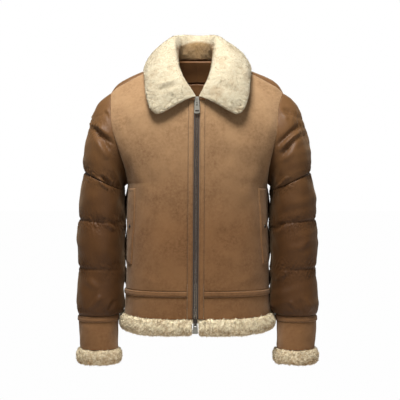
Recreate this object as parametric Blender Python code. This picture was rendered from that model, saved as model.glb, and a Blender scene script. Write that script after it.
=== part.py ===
"""Suede jacket with quilted down back and sleeves, a shearling collar, and shearling hem and cuff edges.

The jacket is filled out as worn and zipped up. Sizes are millimetres up to the mesh, which is in metres.
+X is the wearer's left, -Y the front, +Z up. The origin is the middle of the neck at shoulder level.
"""

import bmesh
import bpy
import numpy as np

MM = 0.001
SEAM_GAP = 0.2          # each piece ends this far short of its seam line
LAY_GAP = 0.35          # air under a piece that lies on another
SUEDE = 3.0             # wall of the suede shearling
NYLON = 3.0             # wall of the quilted nylon at its stitch lines
SIDES = {"left": 1, "right": -1}

SIDE_Y = 8.0            # the side seams lie this far behind the middle
ZIP_TOP_X, ZIP_BOTTOM_X = -1.0, -5.0
ZIP_TOP_Z, ZIP_BOTTOM_Z = -79.0, -626.0
PLACKET_FROM, PLACKET_TO = 7.0, 20.0
WAIST_Z = -549.0        # bottom of the fronts and back
STRIP_DEPTH = 13.5      # depth of the waist strip
UNDERARM_Z = -284.0
NECK_BACK_Z = 36.0
CUFF_SEAM_Z = -614.5
CUFF_STRIP_DEPTH = 14.5
CUFF_EDGE_Z = -698.0
BACK_PUFF = 14.0        # how far the down stands out between the back's stitch lines
SLEEVE_PUFF = 9.0
SHOULDER_LIFT = 11.0    # how far the back's down rolls up behind the shoulder seams
CUFF_PILE = 0.8         # how far the cuff's pile edge stands out, against the hem's
HEM_PILE_DEPTH = 1.1    # how deep the hem's pile edge is, against the cuff's
BACK_LINES = (0.2, 0.603, 1.0, 5 / 3, 7 / 3)

# Level z, half width, depth to the front, depth to the back
BODY_LEVELS = np.array([
    (-670, 188, 133, 123),
    (-616, 187, 132, 122),
    (-556, 183, 129, 117),
    (-446, 180, 127, 113),
    (-340, 178.5, 128, 115),
    (-284, 178, 128, 118),
    (-200, 178, 125, 119),
    (-150, 178, 120, 117),
    (-110, 178, 114, 112),
    (-60, 178, 107, 101),
    (0, 178, 100, 82),
    (36, 178, 95, 62),
])

# Armhole: turn in degrees from the shoulder tip round the front, x on the left, x on the right, y, z
ARMHOLE = np.array([
    (0, 217, 219, -18, -56),
    (30, 205, 217, -46, -84),
    (60, 200, 215, -68, -120),
    (90, 197, 209, -78, -158),
    (120, 188, 195, -72, -202),
    (150, 179, 182, -44, -248),
    (180, 178, 178, 8, -284),
    (210, 183, 183, 54, -250),
    (240, 195, 197, 80, -204),
    (270, 206, 209, 88, -158),
    (300, 213, 216, 74, -114),
    (330, 218, 220, 34, -78),
])

# Neckline: 0 at the centre front, 1 at the shoulder seam, 2 at the centre back, then x, y, z
NECKLINE = np.array([
    (0.0, 4, -109, -76),
    (0.25, 26, -99, -54),
    (0.5, 46, -77, -26),
    (0.75, 62, -42, 2),
    (1.0, 71, -6, 25),
    (1.35, 64, 28, 32),
    (1.7, 38, 53, 35),
    (2.0, 0, 61, 36),
])

# Shoulder seam: share of the way from neck to tip, x, y, z
SHOULDER = np.array([
    (0.0, 71, -6, 25),
    (0.33, 120, -12, 2),
    (0.57, 155, -15, -15),
    (0.78, 185, -17, -32),
    (0.9, 202, -18, -42),
    (1.0, 217, -18, -56),
])

# Sleeve: share of its length, outer x, outer z, inner x, inner z, middle y, half depth
SLEEVE = np.array([
    (0.00, 217, -56, 178, -284, -5, 84),
    (0.05, 234, -75, 184, -286, -3, 84),
    (0.10, 249, -97, 188, -288, -1, 84),
    (0.16, 263, -131, 191, -291, 1, 84),
    (0.23, 274, -168, 193, -295, 3, 84),
    (0.31, 281, -210, 195, -298, 4, 83),
    (0.40, 284, -255, 196, -302, 5, 82),
    (0.60, 296, -374, 196, -388, 3, 77),
    (0.80, 297, -494, 197, -502, -8, 69),
    (1.00, 298, -614.5, 200, -614.5, -22, 58),
])

# Stitch lines round the sleeve, and its cuff seam
SLEEVE_LINES = (0.40, 0.60, 0.80, 1.00)

# Cuff: level z, half width, half depth, middle x, middle y
CUFF = np.array([
    (-614.5, 49.5, 57, 249, -22),
    (-640, 50, 56, 250, -25),
    (-698, 47.5, 53, 247.5, -30),
    (-734, 47, 52, 247, -33),
])

# Collar skin on the pile side. Station 0 is the front end and 6 the centre back.
# Rows run from the neck seam up the stand, over the roll and down the fall: x, y, z, thickness.
COLLAR = np.array([
    [(9, -114, -81, 1.5), (7, -117, -75, 1.5), (12, -122, -75, 2), (40, -130, -88, 7), (74, -132, -107, 8), (102, -128, -121, 6)],
    [(25, -106, -57, 2), (18, -108, -49, 2), (27, -117, -42, 2.5), (54, -126, -58, 7), (90, -127, -86, 8), (118, -121, -98, 6)],
    [(44, -87, -26, 4), (30, -87, -26, 3), (38, -99, -12, 4), (70, -115, -24, 8), (108, -114, -50, 9), (129, -103, -64, 6)],
    [(60, -48, 5, 7), (40, -48, 6, 5), (48, -60, 30, 5), (86, -76, 28, 9), (120, -74, 2, 10), (135, -65, -20, 6)],
    [(62, 0, 32, 10), (41, 5, 54, 8), (53, 8, 91, 7), (88, 14, 76, 9), (122, 16, 46, 9), (137, 14, 15, 6)],
    [(46, 40, 38, 10), (33, 38, 74, 8), (37, 54, 104, 7), (61, 75, 90, 10), (86, 94, 60, 10), (98, 99, 23, 6)],
    [(0, 57, 40, 10), (0, 54, 82, 8), (0, 71, 107, 7), (0, 92, 91, 10), (0, 105, 60, 10), (0, 107, 22, 6)],
])

# Section of a turned-up pile edge: how far out from the cloth's outer face, and down from its top
PILE_EDGE = np.array([
    (-1, 0), (6, -1), (11, -9), (12, -21), (8, -33), (-1, -37), (-9, -32), (-12, -20), (-10, -7), (-5, 0),
])

# Pocket welt: share of its height, inner share of the front's width, outer share
WELT = np.array([(0.0, 0.655, 0.775), (0.5, 0.61, 0.785), (1.0, 0.585, 0.785)])
WELT_BOTTOM_Z, WELT_TOP_Z = -486.0, -297.0
SNAP_Z, SNAP_SHARE, SNAP_RADIUS, SNAP_HEIGHT = -391.0, 0.70, 4.6, 2.2

SLIDER_HALF_WIDTH = 5.2
PULL_ANGLE_SPAN = 16.0  # distance down the zip over which the slider takes its tilt


def through(table, at):
    """Smooth curve through a table's rows, whose first column is the place along it."""
    table = np.asarray(table, float)
    keys, values = table[:, 0], table[:, 1:]
    at = np.clip(at, keys[0], keys[-1])
    slopes = np.gradient(values, keys, axis=0)
    i = np.clip(np.searchsorted(keys, at, side="right") - 1, 0, len(keys) - 2)
    step = (keys[i + 1] - keys[i])[..., None]
    u = (at - keys[i])[..., None] / step
    return (
        (1 + 2 * u) * (1 - u) ** 2 * values[i] + u * (1 - u) ** 2 * step * slopes[i]
        + u * u * (3 - 2 * u) * values[i + 1] + u * u * (u - 1) * step * slopes[i + 1]
    )


def arc_row(start, end, share, bow):
    """Row from start to end that leaves start sideways: straight at bow 1, a quarter ellipse at 2."""
    turn = share * np.pi / 2
    sideways = np.sin(turn) ** (2 / bow)
    back = np.cos(turn) ** (2 / bow)
    return np.stack([
        start[..., 0] + (end[..., 0] - start[..., 0]) * sideways,
        end[..., 1] + (start[..., 1] - end[..., 1]) * back,
        start[..., 2] + (end[..., 2] - start[..., 2]) * sideways,
    ], -1)


def armhole(turn, side):
    """The armhole seam, a closed loop: turn 0 at the shoulder tip, 180 at the underarm."""
    loop = np.vstack([ARMHOLE[-3:] - [360, 0, 0, 0, 0], ARMHOLE, ARMHOLE[:3] + [360, 0, 0, 0, 0]])
    found = through(loop, np.asarray(turn, float))
    x = found[..., 0] if side > 0 else -found[..., 1]
    return np.stack([x, found[..., 2], found[..., 3]], -1)


def into_armhole(turn, side):
    """Unit vectors from the armhole seam towards the middle of the hole, where three walls share one edge."""
    loop = armhole(turn, side)
    middle = armhole(np.arange(0, 360, 15.0), side).mean(0)
    inward = middle - loop
    inward[..., 0] *= 0.3
    return inward / np.linalg.norm(inward, axis=-1, keepdims=True)


def zip_x(z):
    """The zip leans a little from top to bottom."""
    return ZIP_TOP_X + (ZIP_BOTTOM_X - ZIP_TOP_X) * (ZIP_TOP_Z - z) / (ZIP_TOP_Z - ZIP_BOTTOM_Z)


def front_edge_x(z, side):
    return zip_x(z) + side * PLACKET_TO


def front_y(z):
    return -through(BODY_LEVELS, z)[..., 1]


def front_shape(row, share, side):
    """Front panel: row 0 at the waist, 1 underarm, 2 foot of the neckline, 3 shoulder seam; share 0 to 1 outwards."""
    row, share = np.broadcast_arrays(row, share)
    low = np.clip(row, 0, 1)
    z_low = WAIST_Z + (UNDERARM_Z - WAIST_Z) * low
    centre_z = np.where(row <= 1, z_low, UNDERARM_Z + (-58 - UNDERARM_Z) * np.clip(row - 1, 0, 1))
    centre = np.stack([front_edge_x(centre_z, side), front_y(centre_z), centre_z], -1)
    neck = through(NECKLINE, 0.2 + 0.8 * np.clip(row - 2, 0, 1)) * [side, 1, 1]
    neck_foot = through(NECKLINE, np.full(row.shape, 0.2)) * [side, 1, 1]
    top_centre = np.stack([front_edge_x(-58, side), front_y(np.array(-58.0)), np.array(-58.0)], -1)
    start = np.where((row <= 2)[..., None], centre, neck + (top_centre - neck_foot) * np.clip(3 - row, 0, 1)[..., None])
    side_seam = np.stack([side * through(BODY_LEVELS, z_low)[..., 0], np.full(row.shape, SIDE_Y), z_low], -1)
    end = np.where((row <= 1)[..., None], side_seam, armhole(180 - 90 * np.clip(row - 1, 0, 2), side))
    bow = np.interp(row, [0, 1, 1.5, 2, 2.5, 3], [2.4, 2.4, 2.1, 1.7, 1.4, 1.1])
    shape = arc_row(start, end, share, bow)
    seam = through(SHOULDER, np.sin(share * np.pi / 2) ** (2 / 1.1))
    tip = np.where(side > 0, 217.0, 219.0)
    seam[..., 0] = side * (71 + (seam[..., 0] - 71) * (tip - 71) / (217 - 71))
    top = arc_row(through(NECKLINE, np.ones(row.shape)) * [side, 1, 1], armhole(np.zeros(row.shape), side), share, 1.1)
    blend = np.clip(row - 2, 0, 1)[..., None] ** 1.5
    return shape + blend * (seam - top)


def back_shape(row, across):
    """Back panel: rows as on the front; across runs from -1 at the right to 1 at the left."""
    row, across = np.broadcast_arrays(row, across)
    share, side = np.abs(across), np.where(across < 0, -1.0, 1.0)
    low = np.clip(row, 0, 1)
    z_low = WAIST_Z + (UNDERARM_Z - WAIST_Z) * low
    centre_z = np.where(row <= 1, z_low, UNDERARM_Z + (NECK_BACK_Z - UNDERARM_Z) * np.clip(row - 1, 0, 2) / 2)
    start = np.stack([np.zeros(row.shape), through(BODY_LEVELS, centre_z)[..., 2], centre_z], -1)
    seam_low = np.stack([side * through(BODY_LEVELS, z_low)[..., 0], np.full(row.shape, SIDE_Y), z_low], -1)
    turn = 180 + 90 * np.clip(row - 1, 0, 2)
    hole = np.where((side > 0)[..., None], armhole(turn, 1), armhole(turn, -1))
    end = np.where((row <= 1)[..., None], seam_low, hole)
    bow = np.interp(row, [0, 1, 2, 2.5, 3], [2.3, 2.3, 1.9, 1.6, 1.3])
    shape = arc_row(start, end, share, bow)
    neck_share = 0.4
    neck = through(NECKLINE, 2 - np.clip(share / neck_share, 0, 1))
    seam = through(SHOULDER, np.clip((share - neck_share) / (1 - neck_share), 0, 1))
    top = np.where((share < neck_share)[..., None], neck, seam)
    tip = np.where(side > 0, 217.0, 219.0)
    top[..., 0] = np.where(top[..., 0] > 71, 71 + (top[..., 0] - 71) * (tip - 71) / (217 - 71), top[..., 0]) * side
    last_start = np.stack([np.zeros(row.shape), np.full(row.shape, 62.0), np.full(row.shape, NECK_BACK_Z)], -1)
    last_end = np.where((side > 0)[..., None], armhole(np.zeros(row.shape), 1), armhole(np.zeros(row.shape), -1))
    last = arc_row(last_start, last_end, share, 1.3)
    blend = np.clip(row - 1.6, 0, 1.4)[..., None] / 1.4
    return shape + blend ** 2 * (top - last)


def sleeve_shape(along, turn, side):
    """Sleeve before the down puffs it: along 0 at the armhole to 1 at the cuff seam, turn as on the armhole."""
    along, turn = np.broadcast_arrays(along, turn)
    found = through(SLEEVE, along)
    outer_x, outer_z, inner_x, inner_z, mid_y, depth = (found[..., k] for k in range(6))
    angle = np.radians(turn)

    def oval(ox, oz, ix, iz, y, d):
        return np.stack([
            side * ((ox + ix) / 2 + (ox - ix) / 2 * np.cos(angle)),
            y - d * np.sin(angle),
            (oz + iz) / 2 + (oz - iz) / 2 * np.cos(angle),
        ], -1)

    first = oval(*SLEEVE[0, 1:])
    keep = np.clip(1 - along / 0.4, 0, 1)[..., None] ** 1.6
    return oval(outer_x, outer_z, inner_x, inner_z, mid_y, depth) + keep * (armhole(turn, side) - first)


def sleeve_puff(points, along, turn):
    """Height of the down at a sleeve point: round pillows between slanting stitch lines, flat at both seams.
    The upper two lines cut in less on the outer side of the arm."""
    along, turn = np.broadcast_arrays(along, turn)
    angle = np.radians(turn)
    outer = (1 + np.cos(angle)) / 2

    def line(share):
        found = through(SLEEVE, np.full(turn.shape, share))
        return found[..., 3] + (found[..., 1] - found[..., 3]) * outer

    cap = -124 + 25 * np.sin(angle) ** 2
    chest = -144 - 34 * (1 - np.cos(angle))
    lines = [cap + 80, cap, chest] + [line(share) for share in SLEEVE_LINES]
    z = points[..., 2]
    hold = 0.65 * np.clip(np.cos(angle), 0, 1)
    holds = [hold, hold, hold] + [np.zeros(z.shape)] * 4
    puff = np.zeros(z.shape)
    for k, (top, bottom) in enumerate(zip(lines, lines[1:])):
        share = (top - z) / np.maximum(top - bottom, 8.0)
        inside = (share > 0) & (share < 1)
        height = np.sin(np.pi * np.clip(share, 0, 1)) ** 0.7 * np.minimum(1, (top - bottom) / 60)
        held = holds[k] * (1 - share) + holds[k + 1] * share
        puff = np.where(inside, height + (1 - height) * held, puff)
    inner = 1 - outer
    near_seam = np.clip(along / (0.09 + 0.24 * inner**3), 0, 1) ** 0.75
    return SLEEVE_PUFF * puff * near_seam


def back_puff(row, across):
    """Height of the down on the back, between the level stitch lines and away from its seams."""
    row, across = np.broadcast_arrays(row, across)
    lines = (-0.2,) + BACK_LINES + (3.0,)
    puff = np.zeros(row.shape)
    for low, high in zip(lines, lines[1:]):
        share = (row - low) / (high - low)
        inside = (share > 0) & (share < 1)
        puff = np.where(inside, np.sin(np.pi * np.clip(share, 0, 1)) ** 0.7, puff)
    side_fade = np.clip((1 - np.abs(across)) / 0.14, 0, 1) ** 0.6
    waist_fade = np.clip(row / 0.05, 0, 1)
    return BACK_PUFF * puff * side_fade * waist_fade


def shoulder_lift(row, across):
    """Rise of the back's down just behind the shoulder seams, outside the collar."""
    behind = np.sin(np.pi * np.clip((3 - row) / 0.5, 0, 1)) ** 0.7
    beside = np.clip((np.abs(across) - 0.5) / 0.15, 0, 1)
    tip_fade = np.clip((1 - np.abs(across)) / 0.1, 0, 1) ** 0.6
    return SHOULDER_LIFT * behind * beside * tip_fade


def round_corners(station, across):
    """Draws in the collar's two lower front corners: the last half step both ways becomes a quarter disc."""
    station, across = np.broadcast_arrays(station, across)
    a = np.clip((np.abs(station) - 5.5) / 0.5, 0, 1)
    b = np.clip((across - 4.5) / 0.5, 0, 1)
    inward = 0.5 * a * (1 - np.sqrt(1 - b * b / 2))
    upward = 0.5 * b * (1 - np.sqrt(1 - a * a / 2))
    return station - np.sign(station) * inward, across - upward


def collar_shape(station, across):
    """Pile side of the collar: station -6 at the right front end, 0 centre back, 6 left; across 0 at the neck seam to 5."""
    station, across = np.broadcast_arrays(station, across)
    keys = np.arange(7.0)
    mirrored = np.concatenate([COLLAR, COLLAR[-2:-4:-1] * [-1, 1, 1, 1]])
    rows = [np.column_stack([np.arange(9.0), mirrored[:, k]]) for k in range(6)]
    at = 6 - np.abs(station)
    tracks = np.stack([through(row, at) for row in rows], -2)
    slopes = np.gradient(tracks, axis=-2)
    i = np.clip(np.floor(across).astype(int), 0, 4)
    u = (across - i)[..., None]

    def pick(values, k):
        return np.take_along_axis(values, k[..., None, None], axis=-2)[..., 0, :]

    found = (
        (1 + 2 * u) * (1 - u) ** 2 * pick(tracks, i) + u * (1 - u) ** 2 * pick(slopes, i)
        + u * u * (3 - 2 * u) * pick(tracks, i + 1) + u * u * (u - 1) * pick(slopes, i + 1)
    )
    found[..., 0] *= np.where(station < 0, -1, 1)
    lean = -6 * np.clip(1 - np.abs(across - 1.5) / 2.5, 0, 1) * np.clip(keys[-1] - np.abs(station), 0, 1)
    found[..., 0] += lean * np.clip(at / 3, 0, 1)
    return found[..., :3], found[..., 3]


def normals(grid, wrap=False):
    """Unit normals of a grid of points, from the directions to the points on either side."""
    down = np.gradient(grid, axis=0)
    over = (np.roll(grid, -1, 1) - np.roll(grid, 1, 1)) / 2 if wrap else np.gradient(grid, axis=1)
    found = np.cross(down, over)
    length = np.linalg.norm(found, axis=-1, keepdims=True)
    return found / np.maximum(length, 1e-9)


def facing(found, wanted):
    """The normals, all turned the way that most of them already agree with the wanted directions."""
    return found * np.sign((found * wanted).sum())


def short_of_seams(grid, gap=SEAM_GAP, edges=("first_row", "last_row", "first_column", "last_column")):
    """The grid with its border points drawn in by the gap, so that neighbours don't touch."""
    pulled = grid.copy()
    pairs = {"first_row": (np.s_[0], np.s_[1]), "last_row": (np.s_[-1], np.s_[-2]),
             "first_column": (np.s_[:, 0], np.s_[:, 1]), "last_column": (np.s_[:, -1], np.s_[:, -2])}
    for edge in edges:
        border, inside = pairs[edge]
        way = grid[inside] - grid[border]
        pulled[border] += way / np.linalg.norm(way, axis=-1, keepdims=True) * gap
    return pulled


def material(name, colour, roughness, metallic=0.0):
    made = bpy.data.materials.new(name)
    made.use_nodes = True
    shader = made.node_tree.nodes["Principled BSDF"]
    shader.inputs["Base Color"].default_value = (*colour, 1.0)
    shader.inputs["Roughness"].default_value = roughness
    shader.inputs["Metallic"].default_value = metallic
    return made


def add_object(name, points, faces, finish):
    """A closed solid from points in millimetres, its faces turned outwards."""
    mesh = bpy.data.meshes.new(name)
    mesh.from_pydata((np.asarray(points) * MM).tolist(), [], faces)
    shape = bmesh.new()
    shape.from_mesh(mesh)
    bmesh.ops.triangulate(shape, faces=shape.faces[:])
    bmesh.ops.recalc_face_normals(shape, faces=shape.faces[:])
    shape.to_mesh(mesh)
    shape.free()
    mesh.shade_smooth()
    mesh.set_sharp_from_angle(angle=np.radians(40))
    mesh.materials.append(finish)
    made = bpy.data.objects.new(name, mesh)
    bpy.context.scene.collection.objects.link(made)
    return made


def panel(name, outer, inner, finish):
    """A four-sided piece of cloth with a wall between its outer and inner points."""
    rows, columns = outer.shape[:2]
    count = rows * columns
    index = np.arange(count).reshape(rows, columns)
    a, b, c, d = index[:-1, :-1], index[1:, :-1], index[1:, 1:], index[:-1, 1:]
    skin = np.stack([a, b, c, d], -1).reshape(-1, 4)
    border = np.concatenate([index[0, :-1], index[:-1, -1], index[-1, :0:-1], index[:0:-1, 0]])
    following = np.roll(border, -1)
    rim = np.stack([border, following, following + count, border + count], -1)
    faces = np.concatenate([skin, skin[:, ::-1] + count, rim])
    points = np.concatenate([outer.reshape(-1, 3), inner.reshape(-1, 3)])
    return add_object(name, points, faces.tolist(), finish)


def tube(name, outer, inner, finish):
    """A sleeve-like piece, open at both ends, whose outer and inner rings may differ in number."""
    turns = outer.shape[1]

    def skin(rings, first):
        index = np.arange(rings * turns).reshape(rings, turns) + first
        beside = np.roll(index, -1, 1)
        return np.stack([index[:-1], index[1:], beside[1:], beside[:-1]], -1).reshape(-1, 4)

    count = outer.shape[0] * turns
    inner_count = inner.shape[0] * turns
    ends = []
    for ring, inner_ring in ((0, count), (count - turns, count + inner_count - turns)):
        here = np.arange(turns)
        following = np.roll(here, -1)
        ends.append(np.stack([ring + here, ring + following, inner_ring + following, inner_ring + here], -1))
    faces = np.concatenate([skin(outer.shape[0], 0), skin(inner.shape[0], count)[:, ::-1], *ends])
    points = np.concatenate([outer.reshape(-1, 3), inner.reshape(-1, 3)])
    return add_object(name, points, faces.tolist(), finish)


def bar(name, sections, finish):
    """A closed solid carried through a row of sections, each a closed loop of points, with flat ends."""
    rows, loop = sections.shape[:2]
    index = np.arange(rows * loop).reshape(rows, loop)
    beside = np.roll(index, -1, 1)
    skin = np.stack([index[:-1], index[1:], beside[1:], beside[:-1]], -1).reshape(-1, 4).tolist()
    faces = skin + [index[0].tolist(), index[-1, ::-1].tolist()]
    return add_object(name, sections.reshape(-1, 3), faces, finish)


def shearling_edge(name, edge, outward, finish, closed, depth=1.0):
    """A rolled pile edge: the pile section carried along the cloth's lower edge."""
    out, down = PILE_EDGE[:, 0], PILE_EDGE[:, 1] * depth
    sections = edge[:, None, :] + outward[:, None, :] * out[:, None]
    sections[..., 2] += down - LAY_GAP
    if not closed:
        return bar(name, sections, finish)
    rows, loop = sections.shape[:2]
    index = np.arange(rows * loop).reshape(rows, loop)
    after, beside = np.roll(index, -1, 0), np.roll(index, -1, 1)
    faces = np.stack([index, after, np.roll(after, -1, 1), beside], -1).reshape(-1, 4)
    return add_object(name, sections.reshape(-1, 3), faces.tolist(), finish)


def build_fronts(suede):
    rows = np.concatenate([np.linspace(0, 1, 7), 1 + np.arange(1, 13) / 6])
    share = np.concatenate([np.linspace(0, 0.5, 6)[:-1], np.linspace(0.5, 1, 8)])
    for side_name, side in SIDES.items():
        plain = front_shape(rows[:, None], share[None], side)
        out = facing(normals(plain), [side * 0.4, -1, 0.2])
        out[-1] = np.array([side * 0.42, -0.1, 0.9])
        out[:7, -1] = [side, 0, 0]
        out[6:, -1] = -into_armhole(180 - 90 * (rows[6:] - 1), side)
        out[6, -1] = np.array([side, 0, -1]) / np.sqrt(2)
        outer = short_of_seams(plain)
        panel(f"front_{side_name}", outer, outer - out * SUEDE, suede)


def build_back(nylon, dark):
    """The back, and the facing and lining that show inside the neck, which lie on its plain inside."""
    low = np.concatenate([np.linspace(0, 0.2, 3), np.linspace(0.2, 0.603, 5)[1:], np.linspace(0.603, 1, 5)[1:]])
    rows = np.concatenate([low, 1 + np.arange(1, 13) / 6])
    rows = np.insert(rows, -1, 2.94)
    half = np.array([0, 0.1, 0.2, 0.3, 0.4, 0.5, 0.6, 0.7, 0.78, 0.86, 0.93, 1.0])
    across = np.concatenate([-half[:0:-1], half])
    plain = back_shape(rows[:, None], across[None])
    beside_tip = (rows[-2] - rows[-3]) / (rows[-1] - rows[-3])
    plain[-2, [0, -1]] = plain[-3, [0, -1]] + (plain[-1, [0, -1]] - plain[-3, [0, -1]]) * beside_tip
    out = facing(normals(plain), [0, 1, 0.2])
    seam = np.abs(across) > 0.399
    for column in (0, -1):
        side = -1 if column == 0 else 1
        out[: len(low), column] = [side, 0, 0]
        out[len(low) - 1:, column] = -into_armhole(180 + 90 * (rows[len(low) - 1:] - 1), side)
        out[len(low) - 1, column] = np.array([side, 0, -1]) / np.sqrt(2)
        out[-2, column] = out[-3, column] + (out[-1, column] - out[-3, column]) * beside_tip
        shoulder = seam & (np.sign(across) == side)
        out[-1, shoulder] = [side * 0.42, -0.1, 0.9]
    outer = short_of_seams(plain)
    puffed = outer + out * back_puff(rows[:, None], across[None])[..., None]
    puffed[..., 2] += shoulder_lift(rows[:, None], across[None])
    inside = outer - out * NYLON
    panel("back", puffed, inside, nylon)
    middle = np.abs(across) <= 0.4
    underarm = len(low) - 1
    facing_rows, lining_rows = np.s_[underarm + 10:], np.s_[underarm + 5:underarm + 11]
    for name, block in (("neck_facing", facing_rows), ("back_lining", lining_rows)):
        lies_on = inside[block][:, middle]
        out_there = out[block][:, middle]
        near = short_of_seams(lies_on, gap=1.0 if name == "neck_facing" else 0.2) - out_there * LAY_GAP
        panel(name, near, near - out_there * 1.0, dark)


def build_sleeves(nylon):
    cap = np.concatenate([[0, 0.02, 0.05, 0.085, 0.12, 0.155, 0.19, 0.23, 0.275, 0.32, 0.36], [0.40]])
    lower = np.concatenate([np.linspace(a, b, 7)[1:] for a, b in ((0.4, 0.6), (0.6, 0.8), (0.8, 1.0))])
    along = np.concatenate([cap, lower])
    plain_rings = np.concatenate([[0, 0.02, 0.05, 0.12, 0.23, 0.36], np.linspace(0.5, 1.0, 5)])
    turn = np.arange(0, 360, 15.0)
    for side_name, side in SIDES.items():
        grid = sleeve_shape(along[:, None], turn[None], side)
        middle = grid.mean(1, keepdims=True)
        out = facing(normals(grid, wrap=True), grid - middle)
        out[0] = -into_armhole(turn, side)
        outer = short_of_seams(grid, edges=("first_row", "last_row"))
        puffed = outer + out * sleeve_puff(grid, along[:, None], turn[None])[..., None]
        inner_grid = sleeve_shape(plain_rings[:, None], turn[None], side)
        inner_out = facing(normals(inner_grid, wrap=True), inner_grid - inner_grid.mean(1, keepdims=True))
        inner_out[0] = out[0]
        inner_out[-1] = out[-1]
        inner = short_of_seams(inner_grid, edges=("first_row", "last_row")) - inner_out * NYLON
        tube(f"sleeve_{side_name}", puffed, inner, nylon)


def cuff_ring(z, turn, side, proud=0.0):
    """Oval ring of the cuff at level z, or at several levels."""
    z, turn = np.broadcast_arrays(np.asarray(z, float), turn)
    found = through(CUFF[::-1], z)
    angle = np.radians(turn)
    return np.stack([
        side * (found[..., 2] + (found[..., 0] + proud) * np.cos(angle)),
        found[..., 3] - (found[..., 1] + proud) * np.sin(angle),
        z,
    ], -1)


def build_cuffs(suede, pile):
    turn = np.arange(0, 360, 15.0)
    strip_bottom = CUFF_SEAM_Z - CUFF_STRIP_DEPTH
    for side_name, side in SIDES.items():
        levels = np.linspace(CUFF_SEAM_Z - SEAM_GAP, strip_bottom + SEAM_GAP, 4)
        rise = np.array([0.8, 3.0, 3.0, 0.8])
        outer = cuff_ring(levels[:, None], turn[None], side, rise[:, None])
        inner = cuff_ring(levels[[0, -1], None], turn[None], side, -NYLON)
        tube(f"cuff_strip_{side_name}", outer, inner, suede)
        levels = np.linspace(strip_bottom - SEAM_GAP, CUFF_EDGE_Z, 3)
        outer = cuff_ring(levels[:, None], turn[None], side)
        inner = cuff_ring(levels[[0, -1], None], turn[None], side, -SUEDE)
        tube(f"cuff_{side_name}", outer, inner, suede)
        edge = cuff_ring(CUFF_EDGE_Z, turn, side)
        outward = (edge - cuff_ring(CUFF_EDGE_Z, turn, side, -1.0)) * CUFF_PILE
        shearling_edge(f"cuff_fur_{side_name}", edge, outward, pile, closed=True)


def front_band_row(z, share, side, proud=0.0):
    """The front's cross-section at level z, from the front edge to the side seam."""
    z, share = np.broadcast_arrays(np.asarray(z, float), share)
    level = through(BODY_LEVELS, z)
    start = np.stack([front_edge_x(z, side), -level[..., 1] - proud, z], -1)
    end = np.stack([side * (level[..., 0] + proud), np.full(z.shape, SIDE_Y), z], -1)
    return arc_row(start, end, share, 2.4)


def back_band_row(z, across, proud=0.0):
    """The back's cross-section at level z, from one side seam to the other."""
    z, across = np.broadcast_arrays(np.asarray(z, float), across)
    level = through(BODY_LEVELS, z)
    start = np.stack([np.zeros(z.shape), level[..., 2] + proud, z], -1)
    end = np.stack([np.sign(across) * (level[..., 0] + proud), np.full(z.shape, SIDE_Y), z], -1)
    return arc_row(start, end, np.abs(across), 2.3)


def hem_edge_z(y):
    """The suede ends a little higher at the sides than at the front and back."""
    return -616.0 + 9.0 * np.clip(1 - np.abs(y - SIDE_Y) / 130, 0, 1)


def build_bands(suede, pile):
    """Waist strip, hem band and pile edge of each front and of the back."""
    share = np.linspace(0, 1, 13)
    rows = {f"{n}": (lambda z, proud, s=s: front_band_row(z, share[None], s, proud)) for n, s in SIDES.items()}
    rows["back"] = lambda z, proud: back_band_row(z, np.linspace(-1, 1, 19)[None], proud)
    strip_bottom = WAIST_Z - STRIP_DEPTH
    for name, row in rows.items():
        levels = np.linspace(WAIST_Z - SEAM_GAP, strip_bottom + SEAM_GAP, 4)[:, None]
        rise = np.array([[0.8], [3.0], [3.0], [0.8]])
        sides = ("first_column", "last_column")
        outer = short_of_seams(row(levels, rise), edges=sides)
        inner = short_of_seams(row(levels, -SUEDE), edges=sides)
        panel(f"waist_strip_{name}", outer, inner, suede)
        top, bottom = strip_bottom - SEAM_GAP, hem_edge_z(row(-610.0, 0.0)[..., 1])
        drop = np.array([[0], [0.5], [1.0]])
        levels = top + (bottom - top) * drop
        outer = short_of_seams(row(levels, 0.0), edges=sides)
        inner = short_of_seams(row(levels, -SUEDE), edges=sides)
        panel(f"hem_band_{name}", outer, inner, suede)
        edge = outer[-1]
        outward = edge - row(bottom, -1.0)[0]
        outward[0], outward[-1] = outward[1] * [1, 1, 0], outward[-2] * [1, 1, 0]
        if name == "back":
            outward[0], outward[-1] = [-1, 0, 0], [1, 0, 0]
        else:
            outward[0], outward[-1] = [0, -1, 0], [SIDES[name], 0, 0]
            toward_zip = np.array([-SIDES[name] * (PLACKET_TO - 9.5), 0, 0])
            edge = np.vstack([edge[:1] + toward_zip, edge])
            outward = np.vstack([outward[:1], outward])
        shearling_edge(f"hem_fur_{name}", edge, outward, pile, closed=False, depth=HEM_PILE_DEPTH)


def zip_line(z, from_zip, behind):
    """Points beside the zip's middle line, at a distance behind the front's outer face."""
    z, from_zip, behind = np.broadcast_arrays(np.asarray(z, float), from_zip, behind)
    return np.stack([zip_x(z) + from_zip, front_y(z) + behind, z], -1)


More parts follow.
